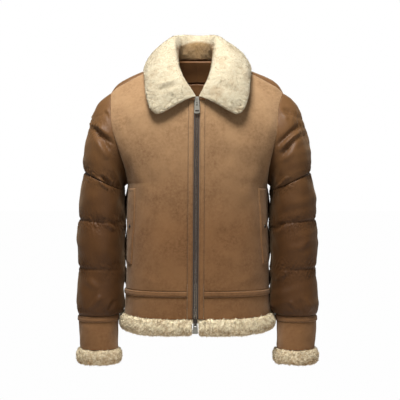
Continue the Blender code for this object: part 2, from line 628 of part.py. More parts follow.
def build_zip(suede, tape, teeth):
    levels = np.array([-82, -110, -150, -200, -284, -380, -470, -549, -590, -615.5])
    for side_name, side in SIDES.items():
        across = side * np.array([PLACKET_FROM, PLACKET_FROM + 1.5, PLACKET_TO - 1.5, PLACKET_TO - 0.35])
        rise = np.array([0.4, -1.2, -1.2, 0.4])
        outer = zip_line(levels[:, None], across, rise)
        inner = zip_line(levels[:, None], across, np.full(4, 1.8))
        panel(f"placket_{side_name}", outer, inner, suede)
        across = side * np.array([3.4, 16.0])
        outer = zip_line(levels[:, None], across, 2.2)
        inner = zip_line(levels[:, None], across, 3.2)
        panel(f"zip_tape_{side_name}", outer, inner, tape)
    levels[0] = ZIP_TOP_Z - 1.0
    levels[-1] = ZIP_BOTTOM_Z + 1.0
    across = np.array([-3.0, -1.8, 1.8, 3.0])
    outer = zip_line(levels[:, None], across, [0.6, -0.4, -0.4, 0.6])
    inner = zip_line(levels[:, None], across, 3.2)
    panel("zip_chain", outer, inner, teeth)


def build_welts(suede, snap_metal):
    for side_name, side in SIDES.items():
        height = np.linspace(0, 1, 9)
        inner_share, outer_share = through(WELT, height).T
        row = (WELT_BOTTOM_Z + (WELT_TOP_Z - WELT_BOTTOM_Z) * height - WAIST_Z) / (UNDERARM_Z - WAIST_Z)
        share = inner_share[:, None] + (outer_share - inner_share)[:, None] * np.linspace(0, 1, 5)
        plain = front_shape(row[:, None], share, side)
        out = facing(normals(plain), [side, -1, 0])
        rise = np.full(plain.shape[:2], 2.8)
        rise[[0, -1]] = rise[:, 0] = rise[:, -1] = 1.2
        under = plain + out * (LAY_GAP + 0.15)
        panel(f"pocket_welt_{side_name}", under + out * rise[..., None], under, suede)
        centre_row = (SNAP_Z - WAIST_Z) / (UNDERARM_Z - WAIST_Z)
        around = front_shape(centre_row + np.array([[-0.02], [0], [0.02]]), SNAP_SHARE + np.array([[-0.02, 0, 0.02]]), side)
        axis = facing(normals(around), [side, -1, 0])[1, 1]
        centre = around[1, 1] + axis * (LAY_GAP * 2 + 0.15 + 2.8)
        level = np.cross(axis, [0, 0, 1])
        level /= np.linalg.norm(level)
        upright = np.cross(level, axis)
        angle = np.radians(np.arange(0, 360, 30))
        circle = level * np.cos(angle)[:, None] + upright * np.sin(angle)[:, None]
        profile = ((0.0, SNAP_RADIUS), (SNAP_HEIGHT * 0.55, SNAP_RADIUS), (SNAP_HEIGHT, SNAP_RADIUS * 0.7))
        sections = np.stack([centre + axis * up + circle * radius for up, radius in profile])
        bar(f"pocket_snap_{side_name}", sections, snap_metal)


def build_collar(pile):
    ends = np.array([5.76, 5.88, 6.0])
    station = np.concatenate([-ends[::-1], np.linspace(-5.6, 5.6, 35), ends])
    across = np.array([0, 0.5, 1.0, 1.4, 1.7, 2.0, 2.3, 2.7, 3.2, 3.8, 4.4, 4.75, 5.0])
    station, across = round_corners(station[:, None], across[None])
    skin, thickness = collar_shape(station, across)
    out = facing(normals(skin), np.where(across[..., None] > 2.4, [0, 0, 1.0], [0, 0, 0.0]))
    out[:, 0, 2] = 0
    out[:, 0] /= np.linalg.norm(out[:, 0], axis=-1, keepdims=True)
    panel("collar", skin, skin - out * thickness[..., None], pile)


def yz_prism(name, outline, half_width, finish, base):
    """A flat outline in the plane across the zip, given as distance out and height, widened both ways."""
    place = base(np.asarray(outline, float))
    sections = np.stack([place - [half_width, 0, 0], place + [half_width, 0, 0]])
    return bar(name, sections, finish)


def cut(target, tools, operation):
    for tool in tools:
        tool.hide_render = True
        tool.display_type = "WIRE"
        change = target.modifiers.new(tool.name, "BOOLEAN")
        change.operation = operation
        change.object = tool


def zip_frame(z, flip):
    """Maps (distance out from the chain's face, height above z) to the slider's place, tilted with the front there."""
    lean = (front_y(np.array(z - PULL_ANGLE_SPAN)) - front_y(np.array(z))) / PULL_ANGLE_SPAN
    out = np.array([0, -1.0, -lean]) / np.hypot(1, lean)
    up = np.array([0, -lean, 1.0]) / np.hypot(1, lean)
    centre = zip_line(z, 0.0, -0.4)
    return lambda outline: centre + outline[:, :1] * out + outline[:, 1:] * up * (-1 if flip else 1), out, up, centre


def build_slider(name, z, flip, length, metal, pull_metal):
    """Slider round the chain's end, and the pull tab whose bar turns under the slider's arch.

    Heights run from the chain's end into the chain, and a bottom slider is the same one upside down.
    """
    base, out, up, centre = zip_frame(z, flip)
    wrap = [(0.5, -12.0), (3.0, -12.0), (3.0, 5.0), (-6.0, 5.0), (-6.0, -11.0), (-4.2, -11.0),
            (-4.2, 0.2), (0.5, 0.2)]
    slider = yz_prism(f"slider_{name}", wrap, SLIDER_HALF_WIDTH, metal, base)
    arch_outline = [(2.0, 4.0), (7.8, 3.4), (7.8, -10.0), (2.0, -10.6), (2.0, -9.0), (6.4, -8.6),
                    (6.4, 2.0), (2.0, 2.4)]
    arch = yz_prism(f"arch_{name}", arch_outline, 1.5, metal, base)
    cut(slider, [arch], "UNION")

    bar_height = 0.3 if flip else -1.2
    window_end = -6.6 if flip else -10.2
    axis_point = centre + out * 4.7 + up * bar_height
    across = np.array([1.0, 0, 0])
    top, bottom = 5.0, 6.9
    outline = [(-top, 1.0), (top, 1.0), (bottom, -length + 2.0), (bottom - 2, -length), (2 - bottom, -length),
               (-bottom, -length + 2.0)]

    def slab(slab_name, corners, half_thick):
        place = np.array([axis_point + across * x + up * h for x, h in corners])
        return bar(slab_name, np.stack([place - out * half_thick, place + out * half_thick]), pull_metal)

    pull = slab(f"pull_{name}", outline, 0.85)
    angle = np.radians(np.arange(0, 360, 30))
    hole = [(1.8 * np.cos(a), -length * 0.42 + 1.8 * np.sin(a)) for a in angle]
    slot = [(-4.4, -length * 0.83 - 1.6), (4.4, -length * 0.83 - 1.6), (4.4, -length * 0.83 + 1.6), (-4.4, -length * 0.83 + 1.6)]
    window = [(-2.4, window_end), (2.4, window_end), (2.4, -1.0), (-2.4, -1.0)]
    shapes = [("window", window), ("hole", hole), ("slot", slot)] if length > 30 else [("window", window)]
    cut(pull, [slab(f"{n}_{name}", corners, 4.0) for n, corners in shapes], "DIFFERENCE")
    return axis_point


def main():
    for thing in list(bpy.data.objects):
        bpy.data.objects.remove(thing)
    suede = material("suede", (0.30, 0.16, 0.075), 0.9)
    nylon = material("quilted nylon", (0.12, 0.06, 0.022), 0.42)
    pile = material("shearling", (0.72, 0.60, 0.40), 0.95)
    dark = material("lining", (0.05, 0.025, 0.012), 0.6)
    tape = material("zip tape", (0.035, 0.024, 0.018), 0.8)
    teeth = material("zip teeth", (0.10, 0.08, 0.065), 0.45, 1.0)
    silver = material("pull metal", (0.50, 0.47, 0.40), 0.35, 1.0)
    snap_metal = material("snap metal", (0.10, 0.09, 0.08), 0.4, 1.0)
    build_fronts(suede)
    build_back(nylon, dark)
    build_sleeves(nylon)
    build_cuffs(suede, pile)
    build_bands(suede, pile)
    build_zip(suede, tape, teeth)
    build_welts(suede, snap_metal)
    build_collar(pile)
    build_slider("top", ZIP_TOP_Z, False, 36.0, silver, silver)
    build_slider("bottom", ZIP_BOTTOM_Z, True, 24.0, teeth, silver)


main()
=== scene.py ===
import bpy
import numpy as np
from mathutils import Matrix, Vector


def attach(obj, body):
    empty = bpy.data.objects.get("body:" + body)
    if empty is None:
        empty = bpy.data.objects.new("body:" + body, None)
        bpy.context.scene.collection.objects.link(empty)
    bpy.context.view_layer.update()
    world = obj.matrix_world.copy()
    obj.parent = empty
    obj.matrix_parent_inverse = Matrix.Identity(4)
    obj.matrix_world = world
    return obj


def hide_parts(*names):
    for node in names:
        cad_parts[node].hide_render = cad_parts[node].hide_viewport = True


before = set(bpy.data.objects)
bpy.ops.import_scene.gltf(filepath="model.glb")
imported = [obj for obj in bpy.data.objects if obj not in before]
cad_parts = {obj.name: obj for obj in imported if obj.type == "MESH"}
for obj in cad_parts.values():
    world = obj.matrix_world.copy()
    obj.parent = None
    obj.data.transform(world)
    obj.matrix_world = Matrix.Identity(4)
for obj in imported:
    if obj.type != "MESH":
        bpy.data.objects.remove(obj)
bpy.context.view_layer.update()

# Suede fronts. Each is one shearling skin with its brushed suede side out, about 3 mm thick with the
# clipped wool inside. It is sewn to the back at the side, to the sleeve round the armhole, and to the
# collar at the neck. Lengths are millimetres until a mesh is made.
MM = 0.001
SEAM_GAP, SUEDE, SIDE_Y = 0.2, 3.0, 8.0
WAIST_Z, UNDERARM_Z, NECK_BACK_Z = -549.0, -284.0, 36.0
ZIP_TOP_X, ZIP_BOTTOM_X, ZIP_TOP_Z, ZIP_BOTTOM_Z = -1.0, -5.0, -79.0, -626.0
PLACKET_FROM, PLACKET_TO = 7.0, 20.0
NECK_FOOT, NECK_FOOT_Z = 0.2, -58.0
SHOULDER_NECK_X, TIP_X_LEFT, TIP_X_RIGHT = 71.0, 217.0, 219.0
SIDES = {"left": 1, "right": -1}

# Level z, half width, depth to the front, depth to the back
BODY_LEVELS = np.array([
    (-670, 188, 133, 123), (-616, 187, 132, 122), (-556, 183, 129, 117), (-446, 180, 127, 113),
    (-340, 178.5, 128, 115), (-284, 178, 128, 118), (-200, 178, 125, 119), (-150, 178, 120, 117),
    (-110, 178, 114, 112), (-60, 178, 107, 101), (0, 178, 100, 82), (36, 178, 95, 62),
])
# Turn in degrees from the shoulder tip round the front, then x on the left, x on the right, y, z
ARMHOLE = np.array([
    (0, 217, 219, -18, -56), (30, 205, 217, -46, -84), (60, 200, 215, -68, -120),
    (90, 197, 209, -78, -158), (120, 188, 195, -72, -202), (150, 179, 182, -44, -248),
    (180, 178, 178, 8, -284), (210, 183, 183, 54, -250), (240, 195, 197, 80, -204),
    (270, 206, 209, 88, -158), (300, 213, 216, 74, -114), (330, 218, 220, 34, -78),
])
# Neckline: 0 at the centre front, 1 at the shoulder seam, 2 at the centre back, then x, y, z
NECKLINE = np.array([
    (0.0, 4, -109, -76), (0.25, 26, -99, -54), (0.5, 46, -77, -26), (0.75, 62, -42, 2),
    (1.0, 71, -6, 25), (1.35, 64, 28, 32), (1.7, 38, 53, 35), (2.0, 0, 61, 36),
])
# Shoulder seam: share of the way from neck to tip, x, y, z
SHOULDER = np.array([
    (0.0, 71, -6, 25), (0.33, 120, -12, 2), (0.57, 155, -15, -15), (0.78, 185, -17, -32),
    (0.9, 202, -18, -42), (1.0, 217, -18, -56),
])


def through(table, at):
    """Smooth curve through a table's rows, whose first column is the place along it: a cubic between rows."""
    table = np.asarray(table, float)
    keys, values = table[:, 0], table[:, 1:]
    at = np.clip(at, keys[0], keys[-1])
    slopes = np.gradient(values, keys, axis=0)
    i = np.clip(np.searchsorted(keys, at, side="right") - 1, 0, len(keys) - 2)
    step = (keys[i + 1] - keys[i])[..., None]
    u = (at - keys[i])[..., None] / step
    return (
        (1 + 2 * u) * (1 - u) ** 2 * values[i] + u * (1 - u) ** 2 * step * slopes[i]
        + u * u * (3 - 2 * u) * values[i + 1] + u * u * (u - 1) * step * slopes[i + 1]
    )


def arc_row(start, end, share, bow):
    """Row that leaves start sideways and reaches end: powers of sine and cosine, straight at bow 1."""
    turn = share * np.pi / 2
    sideways = np.sin(turn) ** (2 / bow)
    back = np.cos(turn) ** (2 / bow)
    return np.stack([
        start[..., 0] + (end[..., 0] - start[..., 0]) * sideways,
        end[..., 1] + (start[..., 1] - end[..., 1]) * back,
        start[..., 2] + (end[..., 2] - start[..., 2]) * sideways,
    ], -1)


def armhole(turn, side):
    """The armhole seam as a closed cubic loop: turn 0 at the shoulder tip, 180 at the underarm."""
    loop = np.vstack([ARMHOLE[-3:] - [360, 0, 0, 0, 0], ARMHOLE, ARMHOLE[:3] + [360, 0, 0, 0, 0]])
    found = through(loop, np.asarray(turn, float))
    x = found[..., 0] if side > 0 else -found[..., 1]
    return np.stack([x, found[..., 2], found[..., 3]], -1)


def into_armhole(turn, side):
    """Unit vectors from the armhole seam towards the middle of the hole."""
    loop = armhole(turn, side)
    inward = armhole(np.arange(0, 360, 15.0), side).mean(0) - loop
    inward[..., 0] *= 0.3
    return inward / np.linalg.norm(inward, axis=-1, keepdims=True)


def zip_x(z):
    """The zip leans a little from top to bottom: a straight line in z."""
    return ZIP_TOP_X + (ZIP_BOTTOM_X - ZIP_TOP_X) * (ZIP_TOP_Z - z) / (ZIP_TOP_Z - ZIP_BOTTOM_Z)


def front_edge_x(z, side):
    """The front's edge beside the placket, which follows the zip."""
    return zip_x(z) + side * PLACKET_TO


def front_y(z):
    """Depth of the body's middle front at a level."""
    return -through(BODY_LEVELS, z)[..., 1]


def to_tip(x, side):
    """Stretches the x of a shoulder seam beyond the neck in proportion, so that it ends at its side's tip."""
    tip = np.where(side > 0, TIP_X_LEFT, TIP_X_RIGHT)
    return SHOULDER_NECK_X + (x - SHOULDER_NECK_X) * (tip - SHOULDER_NECK_X) / (TIP_X_LEFT - SHOULDER_NECK_X)


def front_shape(row, share, side):
    """Front panel: rows between its edge and the side seam or armhole; row 0 waist, 1 underarm,
    2 neckline foot, 3 shoulder seam, where the row is bent on to the seam's own curve."""
    row, share = np.broadcast_arrays(row, share)
    z_low = WAIST_Z + (UNDERARM_Z - WAIST_Z) * np.clip(row, 0, 1)
    z_high = UNDERARM_Z + (NECK_FOOT_Z - UNDERARM_Z) * np.clip(row - 1, 0, 1)
    centre_z = np.where(row <= 1, z_low, z_high)
    centre = np.stack([front_edge_x(centre_z, side), front_y(centre_z), centre_z], -1)
    neck = through(NECKLINE, NECK_FOOT + (1 - NECK_FOOT) * np.clip(row - 2, 0, 1)) * [side, 1, 1]
    neck_foot = through(NECKLINE, np.full(row.shape, NECK_FOOT)) * [side, 1, 1]
    foot_z = np.array(NECK_FOOT_Z)
    top_centre = np.stack([front_edge_x(foot_z, side), front_y(foot_z), foot_z], -1)
    above = neck + (top_centre - neck_foot) * np.clip(3 - row, 0, 1)[..., None]
    start = np.where((row <= 2)[..., None], centre, above)
    side_x = side * through(BODY_LEVELS, z_low)[..., 0]
    side_seam = np.stack([side_x, np.full(row.shape, SIDE_Y), z_low], -1)
    end = np.where((row <= 1)[..., None], side_seam, armhole(180 - 90 * np.clip(row - 1, 0, 2), side))
    bow = np.interp(row, [0, 1, 1.5, 2, 2.5, 3], [2.4, 2.4, 2.1, 1.7, 1.4, 1.1])
    shape = arc_row(start, end, share, bow)
    seam = through(SHOULDER, np.sin(share * np.pi / 2) ** (2 / 1.1))
    seam[..., 0] = side * to_tip(seam[..., 0], side)
    neck_end = through(NECKLINE, np.ones(row.shape)) * [side, 1, 1]
    top = arc_row(neck_end, armhole(np.zeros(row.shape), side), share, 1.1)
    return shape + np.clip(row - 2, 0, 1)[..., None] ** 1.5 * (seam - top)


def normals(grid, wrap=False):
    """Unit normals of a grid of points, from the directions to the points on either side."""
    down = np.gradient(grid, axis=0)
    over = (np.roll(grid, -1, 1) - np.roll(grid, 1, 1)) / 2 if wrap else np.gradient(grid, axis=1)
    found = np.cross(down, over)
    return found / np.maximum(np.linalg.norm(found, axis=-1, keepdims=True), 1e-9)


def facing(found, wanted):
    """The normals, all turned the way that most of them already agree with the wanted directions."""
    return found * np.sign((found * wanted).sum())


def short_of_seams(grid, gap=SEAM_GAP, edges=("first_row", "last_row", "first_column", "last_column")):
    """The grid with its border points drawn in by the gap, so that neighbours don't touch."""
    pulled = grid.copy()
    pairs = {"first_row": (np.s_[0], np.s_[1]), "last_row": (np.s_[-1], np.s_[-2]),
             "first_column": (np.s_[:, 0], np.s_[:, 1]), "last_column": (np.s_[:, -1], np.s_[:, -2])}
    for edge in edges:
        border, inside = pairs[edge]
        way = grid[inside] - grid[border]
        pulled[border] += way / np.linalg.norm(way, axis=-1, keepdims=True) * gap
    return pulled


def ripple(points, size, seed, waves=14):
    """Soft uneven swell between about -1 and 1: waves near one length, in seeded ways and phases."""
    chance = np.random.default_rng(seed)
    ways = chance.normal(size=(waves, 3))
    ways /= np.linalg.norm(ways, axis=1, keepdims=True)
    lengths = size * chance.uniform(0.7, 1.5, waves)
    phases = chance.uniform(0, 2 * np.pi, waves)
    total = np.zeros(points.shape[:-1])
    for way, length, phase in zip(ways, lengths, phases):
        total += np.sin(points @ way * (2 * np.pi / length) + phase)
    return total / np.sqrt(waves * 1.3)


def folds(points, out, table, front=True):
    """Soft folds at listed places: each row is x, z of both ends, half width and height. Its cross-section is
    a bell with a weaker bell of the other sign beside it, fading to both ends; only where the cloth faces
    that way."""
    total = np.zeros(points.shape[:-1])
    faces = np.clip((-out[..., 1] if front else out[..., 1]) * 3 + 0.4, 0, 1)
    for x1, z1, x2, z2, width, height in table:
        along = np.array([x2 - x1, z2 - z1], float)
        length = np.hypot(*along)
        along /= length
        dx, dz = points[..., 0] - x1, points[..., 2] - z1
        share = (dx * along[0] + dz * along[1]) / length
        off = (dz * along[0] - dx * along[1]) / width
        ends = np.clip(1 - np.abs(share * 2 - 1) ** 2.5, 0, 1)
        total += height * ends * (np.exp(-off * off) - 0.45 * np.exp(-(off - 1.5) ** 2))
    return total * faces


def from_border(shape, wrap=False):
    """For each grid point, how many steps it is from the nearest border row or column."""
    rows, columns = np.indices(shape)
    near = np.minimum(rows, shape[0] - 1 - rows)
    return near if wrap else np.minimum(near, np.minimum(columns, shape[1] - 1 - columns))


def put_mesh(name, points, quads, finishes, slots=None, triangles=None, shade_and_mottle=None):
    """An object at the origin from points in millimetres and faces given by point number. A value per point
    of painted shade and random mottle is kept for the finish, which darkens by it."""
    mesh = bpy.data.meshes.new(name)
    parts = [np.asarray(f) for f in (quads, triangles) if f is not None and len(f)]
    loops = np.concatenate([f.ravel() for f in parts])
    sizes = np.concatenate([np.full(len(f), f.shape[1]) for f in parts])
    mesh.vertices.add(len(points))
    mesh.vertices.foreach_set("co", (np.asarray(points) * MM).astype(np.float32).ravel())
    mesh.loops.add(len(loops))
    mesh.loops.foreach_set("vertex_index", loops.astype(np.int32))
    mesh.polygons.add(len(sizes))
    starts = np.concatenate([[0], np.cumsum(sizes)[:-1]])
    mesh.polygons.foreach_set("loop_start", starts.astype(np.int32))
    mesh.polygons.foreach_set("use_smooth", np.ones(len(sizes), bool))
    for finish in finishes:
        mesh.materials.append(finish)
    if slots is not None:
        mesh.polygons.foreach_set("material_index", slots.astype(np.int32))
    if shade_and_mottle is not None:
        kept = mesh.attributes.new("shade_and_mottle", "FLOAT", "POINT")
        kept.data.foreach_set("value", np.clip(shade_and_mottle, 0, 1).astype(np.float32).ravel())
    mesh.update(calc_edges=True)
    made = bpy.data.objects.new(name, mesh)
    bpy.context.scene.collection.objects.link(made)
    return made


def outwards(made):
    """Turns a closed mesh right side out if the volume that its faces enclose comes out negative."""
    mesh = made.data
    points = np.empty(len(mesh.vertices) * 3)
    mesh.vertices.foreach_get("co", points)
    points = points.reshape(-1, 3)
    mesh.calc_loop_triangles()
    corners = np.empty(len(mesh.loop_triangles) * 3, int)
    mesh.loop_triangles.foreach_get("vertices", corners)
    a, b, c = points[corners.reshape(-1, 3)].transpose(1, 0, 2)
    if (a * np.cross(b, c)).sum() < 0:
        mesh.flip_normals()
    return made


def skin_of(index, wrap=True):
    """One quad for each cell of a grid of point numbers; with wrap the last column meets the first."""
    beside = np.roll(index, -1, 1) if wrap else index[:, 1:]
    here = index if wrap else index[:, :-1]
    return np.stack([here[:-1], here[1:], beside[1:], beside[:-1]], -1).reshape(-1, 4)


def pole_fans(index):
    """Triangles from a tube's two end rings to the two points that follow the grid's last one."""
    first, last = index[0], index[-1]
    start, end = np.full(len(first), index.size), np.full(len(last), index.size + 1)
    return np.concatenate([np.stack([first, np.roll(first, -1), start], -1),
                           np.stack([np.roll(last, -1), last, end], -1)])


def rims_of(index, wrap):
    """The loops of border point numbers: one round a sheet, or the two ends of a tube."""
    if wrap:
        return [index[0], np.roll(index[-1, ::-1], 1)]
    return [np.concatenate([index[0, :-1], index[:-1, -1], index[-1, :0:-1], index[:0:-1, 0]])]


def cloth(name, outer, inner, finishes, wrap=False, shade_and_mottle=None, step=1):
    """A closed piece of cloth between an outer and an inner grid; with wrap its columns run round a tube.
    The inner skin keeps every step-th row and column, and has the last finish given, as the rim has. The rim
    is a strip of triangles, step of them on the outer loop to each on the inner."""
    rows, columns = outer.shape[:2]
    inner = inner[::step, ::step]
    index = np.arange(rows * columns).reshape(rows, columns)
    under = np.arange(inner.shape[0] * inner.shape[1]).reshape(inner.shape[:2]) + rows * columns
    rim = []
    for above, below in zip(rims_of(index, wrap), rims_of(under, wrap)):
        parts = [np.roll(above, -k)[::step] for k in range(step + 1)]
        after = np.roll(below, -1)
        half = (step + 1) // 2
        rim += [np.stack([parts[k], parts[k + 1], below if k < half else after], -1) for k in range(step)]
        rim.append(np.stack([parts[half], after, below], -1))
    rim = np.concatenate(rim)
    shown, hidden = skin_of(index, wrap), skin_of(under, wrap)[:, ::-1]
    faces = np.concatenate([shown, hidden])
    slots = np.concatenate([np.zeros(len(shown), int), np.full(len(hidden) + len(rim), len(finishes) - 1)])
    points = np.concatenate([outer.reshape(-1, 3), inner.reshape(-1, 3)])
    if shade_and_mottle is not None:
        shade_and_mottle = np.concatenate([shade_and_mottle.ravel(), shade_and_mottle[::step, ::step].ravel()])
    return outwards(put_mesh(name, points, faces, finishes, slots, triangles=rim, shade_and_mottle=shade_and_mottle))


def node(tree, kind, values=None, **settings):
    """One shader node: a value that is a socket is linked, any other is written on the input of that name."""
    made = tree.nodes.new("ShaderNode" + kind)
    for key, value in settings.items():
        setattr(made, key, value)
    for key, value in (values or {}).items():
        if isinstance(value, bpy.types.NodeSocket):
            tree.links.new(value, made.inputs[key])
        else:
            made.inputs[key].default_value = value
    return made


def new_group(name, inputs, outputs):
    """An empty shader node group with named inputs and outputs, and its two end nodes."""
    group = bpy.data.node_groups.new(name, "ShaderNodeTree")
    for label, kind, start in inputs:
        made = group.interface.new_socket(label, in_out="INPUT", socket_type=kind)
        made.default_value = start
    for label, kind in outputs:
        group.interface.new_socket(label, in_out="OUTPUT", socket_type=kind)
    return group, group.nodes.new("NodeGroupInput"), group.nodes.new("NodeGroupOutput")


# Cloudy colour: two noises, one broad and one fine, mix a deep, a middle and a light colour.
mottle, taken, given = new_group(
    "Cloudy colour",
    [("Deep", "NodeSocketColor", (0.1, 0.05, 0.02, 1)), ("Middle", "NodeSocketColor", (0.3, 0.2, 0.1, 1)),
     ("Light", "NodeSocketColor", (0.5, 0.4, 0.3, 1)), ("Broad", "NodeSocketFloat", 20.0),
     ("Fine", "NodeSocketFloat", 400.0)],
    [("Color", "NodeSocketColor")],
)
place = node(mottle, "TexCoord").outputs["Object"]
broad = node(mottle, "TexNoise", {"Vector": place, "Scale": taken.outputs["Broad"], "Detail": 5.0,
                                  "Roughness": 0.6})
fine = node(mottle, "TexNoise", {"Vector": place, "Scale": taken.outputs["Fine"], "Detail": 3.0,
                                 "Roughness": 0.7})
low = node(mottle, "MapRange", {"Value": broad.outputs["Fac"], "From Min": 0.36, "From Max": 0.62})
high = node(mottle, "MapRange", {"Value": fine.outputs["Fac"], "From Min": 0.35, "From Max": 0.75})
first = node(mottle, "MixRGB", {"Fac": low.outputs["Result"], "Color1": taken.outputs["Deep"],
                                "Color2": taken.outputs["Middle"]})
second = node(mottle, "MixRGB", {"Fac": high.outputs["Result"], "Color1": first.outputs["Color"],
                                 "Color2": taken.outputs["Light"]})
mottle.links.new(second.outputs["Color"], given.inputs["Color"])

# Nap and grain: a bump whose height is fine noise, in metres of the given size.
grain, taken, given = new_group(
    "Nap and grain",
    [("Scale", "NodeSocketFloat", 900.0), ("Strength", "NodeSocketFloat", 0.3),
     ("Distance", "NodeSocketFloat", 0.0004)],
    [("Normal", "NodeSocketVector")],
)
place = node(grain, "TexCoord").outputs["Object"]
noise = node(grain, "TexNoise", {"Vector": place, "Scale": taken.outputs["Scale"], "Detail": 4.0,
                                 "Roughness": 0.65})
bump = node(grain, "Bump", {"Height": noise.outputs["Fac"], "Strength": taken.outputs["Strength"],
                            "Distance": taken.outputs["Distance"]})
grain.links.new(bump.outputs["Normal"], given.inputs["Normal"])

# Painted shade below: the colour is multiplied by a tint, in full below the lower level, not at all above the
# upper, a painted shade where less of the light from above falls.
shade_below_group, taken, given = new_group(
    "Painted shade below",
    [("Color", "NodeSocketColor", (0.5, 0.5, 0.5, 1)), ("Tint", "NodeSocketColor", (1, 1, 1, 1)),
     ("Lower", "NodeSocketFloat", -0.4), ("Upper", "NodeSocketFloat", -0.1)],
    [("Color", "NodeSocketColor")],
)
place = node(shade_below_group, "TexCoord").outputs["Object"]
level = node(shade_below_group, "SeparateXYZ", {"Vector": place})
share = node(shade_below_group, "MapRange", {"Value": level.outputs["Z"], "From Min": taken.outputs["Lower"],
                                  "From Max": taken.outputs["Upper"], "To Min": 1.0, "To Max": 0.0})
mixed = node(shade_below_group, "MixRGB", {"Fac": share.outputs["Result"], "Color1": taken.outputs["Color"],
                                "Color2": taken.outputs["Tint"]}, blend_type="MULTIPLY")
shade_below_group.links.new(mixed.outputs["Color"], given.inputs["Color"])


def finish_of(name, deep, middle, light, broad_scale, fine_scale, grain_scale, grain_depth,
              below=(1, 1, 1), shade=(1, 1, 1), **sockets):
    """A cloth or metal finish: cloudy colour and grain from the groups, and plain values on the shader's
    sockets. Below tints the lower part of the jacket darker, a painted shade of the light from above, and
    shade tints wherever a mesh's value of painted shade and mottle is 1."""
    made = bpy.data.materials.new(name)
    made.use_nodes = True
    tree = made.node_tree
    shader = tree.nodes["Principled BSDF"]
    colour = node(tree, "Group", node_tree=mottle)
    for label, value in (("Deep", deep), ("Middle", middle), ("Light", light)):
        colour.inputs[label].default_value = (*value, 1)
    colour.inputs["Broad"].default_value = broad_scale
    colour.inputs["Fine"].default_value = fine_scale
    rough = node(tree, "Group", node_tree=grain)
    rough.inputs["Scale"].default_value = grain_scale
    rough.inputs["Distance"].default_value = grain_depth
    rough.inputs["Strength"].default_value = 0.6
    shade_below = node(tree, "Group", node_tree=shade_below_group)
    tree.links.new(colour.outputs["Color"], shade_below.inputs["Color"])
    shade_below.inputs["Tint"].default_value = (*below, 1)
    # The attribute holds painted shade, with some random mottle, and darkens the colour towards the shade
    # colour.
    shade_and_mottle = node(tree, "Attribute", attribute_name="shade_and_mottle")
    toned = node(tree, "MixRGB", {"Fac": shade_and_mottle.outputs["Fac"], "Color1": shade_below.outputs["Color"],
                                  "Color2": (*shade, 1)}, blend_type="MULTIPLY")
    tree.links.new(toned.outputs["Color"], shader.inputs["Base Color"])
    tree.links.new(rough.outputs["Normal"], shader.inputs["Normal"])
    for key, value in sockets.items():
        shader.inputs[key.replace("_", " ")].default_value = value
    made.diffuse_color = (*middle, 1)
    return made


# The suede's below tint darkens its lower part: painted shade of the light from above.
suede = finish_of("Brushed suede", (0.192, 0.106, 0.049), (0.28, 0.166, 0.081), (0.30, 0.184, 0.095),
                  17, 150, 1300, 0.0006, below=(0.67, 0.54, 0.43), Roughness=0.92, Sheen_Weight=0.25,
                  Sheen_Roughness=0.5, Sheen_Tint=(1.0, 0.8, 0.6, 1), Specular_IOR_Level=0.12)
inside_pile = finish_of("Clipped wool inside", (0.30, 0.22, 0.13), (0.42, 0.32, 0.20), (0.5, 0.40, 0.27),
                        40, 500, 700, 0.001, Roughness=0.95)

# Folds: x, z of one end, x, z of the other, half width, height
FRONT_FOLDS = {
    "left": [(150, -240, 120, -330, 16, 2.2), (168, -215, 160, -290, 9, -2.0),
             (70, -230, 110, -290, 24, 1.6), (60, -420, 100, -520, 22, 1.6),
             (120, -330, 90, -440, 26, -1.8), (40, -330, 60, -410, 20, 1.2),
             (185, -120, 170, -190, 10, 1.6), (150, -505, 90, -535, 12, 1.4),
             (60, -150, 95, -215, 22, 1.4)],
    "right": [(-155, -235, -128, -320, 15, 2.2), (-176, -220, -165, -290, 9, -2.0),
              (-60, -260, -105, -310, 24, -1.6), (-70, -420, -108, -515, 24, 1.8),
              (-118, -340, -84, -430, 26, 1.6), (-45, -190, -80, -260, 22, 1.4),
              (-195, -110, -184, -180, 10, 1.6), (-140, -508, -80, -538, 12, 1.2),
              (-40, -470, -60, -540, 16, -1.4)],
}


def front_relief(plain, out, side_name):
    """Height of the front's worn shape: its folds, a broad swell and a fine one."""
    swell = 0.9 * ripple(plain, 95, 11) + 0.35 * ripple(plain, 38, 12)
    return folds(plain, out, FRONT_FOLDS[side_name]) + swell


rows = np.concatenate([np.linspace(0, 1, 76), np.linspace(1, 3, 88)[1:]])
underarm = 75
share = np.concatenate([np.linspace(0, 0.5, 42)[:-1], np.linspace(0.5, 1, 41)])
for side_name, side in SIDES.items():
    plain = front_shape(rows[:, None], share[None], side)
    out = facing(normals(plain), [side * 0.4, -1, 0.2])
    out[-1] = [side * 0.42, -0.1, 0.9]
    out[:underarm, -1] = [side, 0, 0]
    out[underarm:, -1] = -into_armhole(180 - 90 * (rows[underarm:] - 1), side)
    out[underarm, -1] = np.array([side, 0, -1]) / np.sqrt(2)
    outer = short_of_seams(plain)
    ease = np.clip(from_border(rows.shape + share.shape) / 7, 0, 1) ** 0.7
    top = outer + out * (ease * front_relief(plain, out, side_name))[..., None]
    piece = cloth(f"front_{side_name}_suede", top, outer - out * SUEDE, [suede, inside_pile], step=3)
    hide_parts(f"front_{side_name}")
    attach(piece, "jacket")

# Placket and zip. A suede strip is folded along each front edge and top-stitched beside its fold. Under it
# lies the woven zip tape, whose metal teeth are clamped on a corded edge and mesh down the middle.
def zip_line(z, from_zip, behind):
    """Points beside the zip's middle line, at a distance behind the front's outer face."""
    z, from_zip, behind = np.broadcast_arrays(np.asarray(z, float), from_zip, behind)
    return np.stack([zip_x(z) + from_zip, front_y(z) + behind, z], -1)


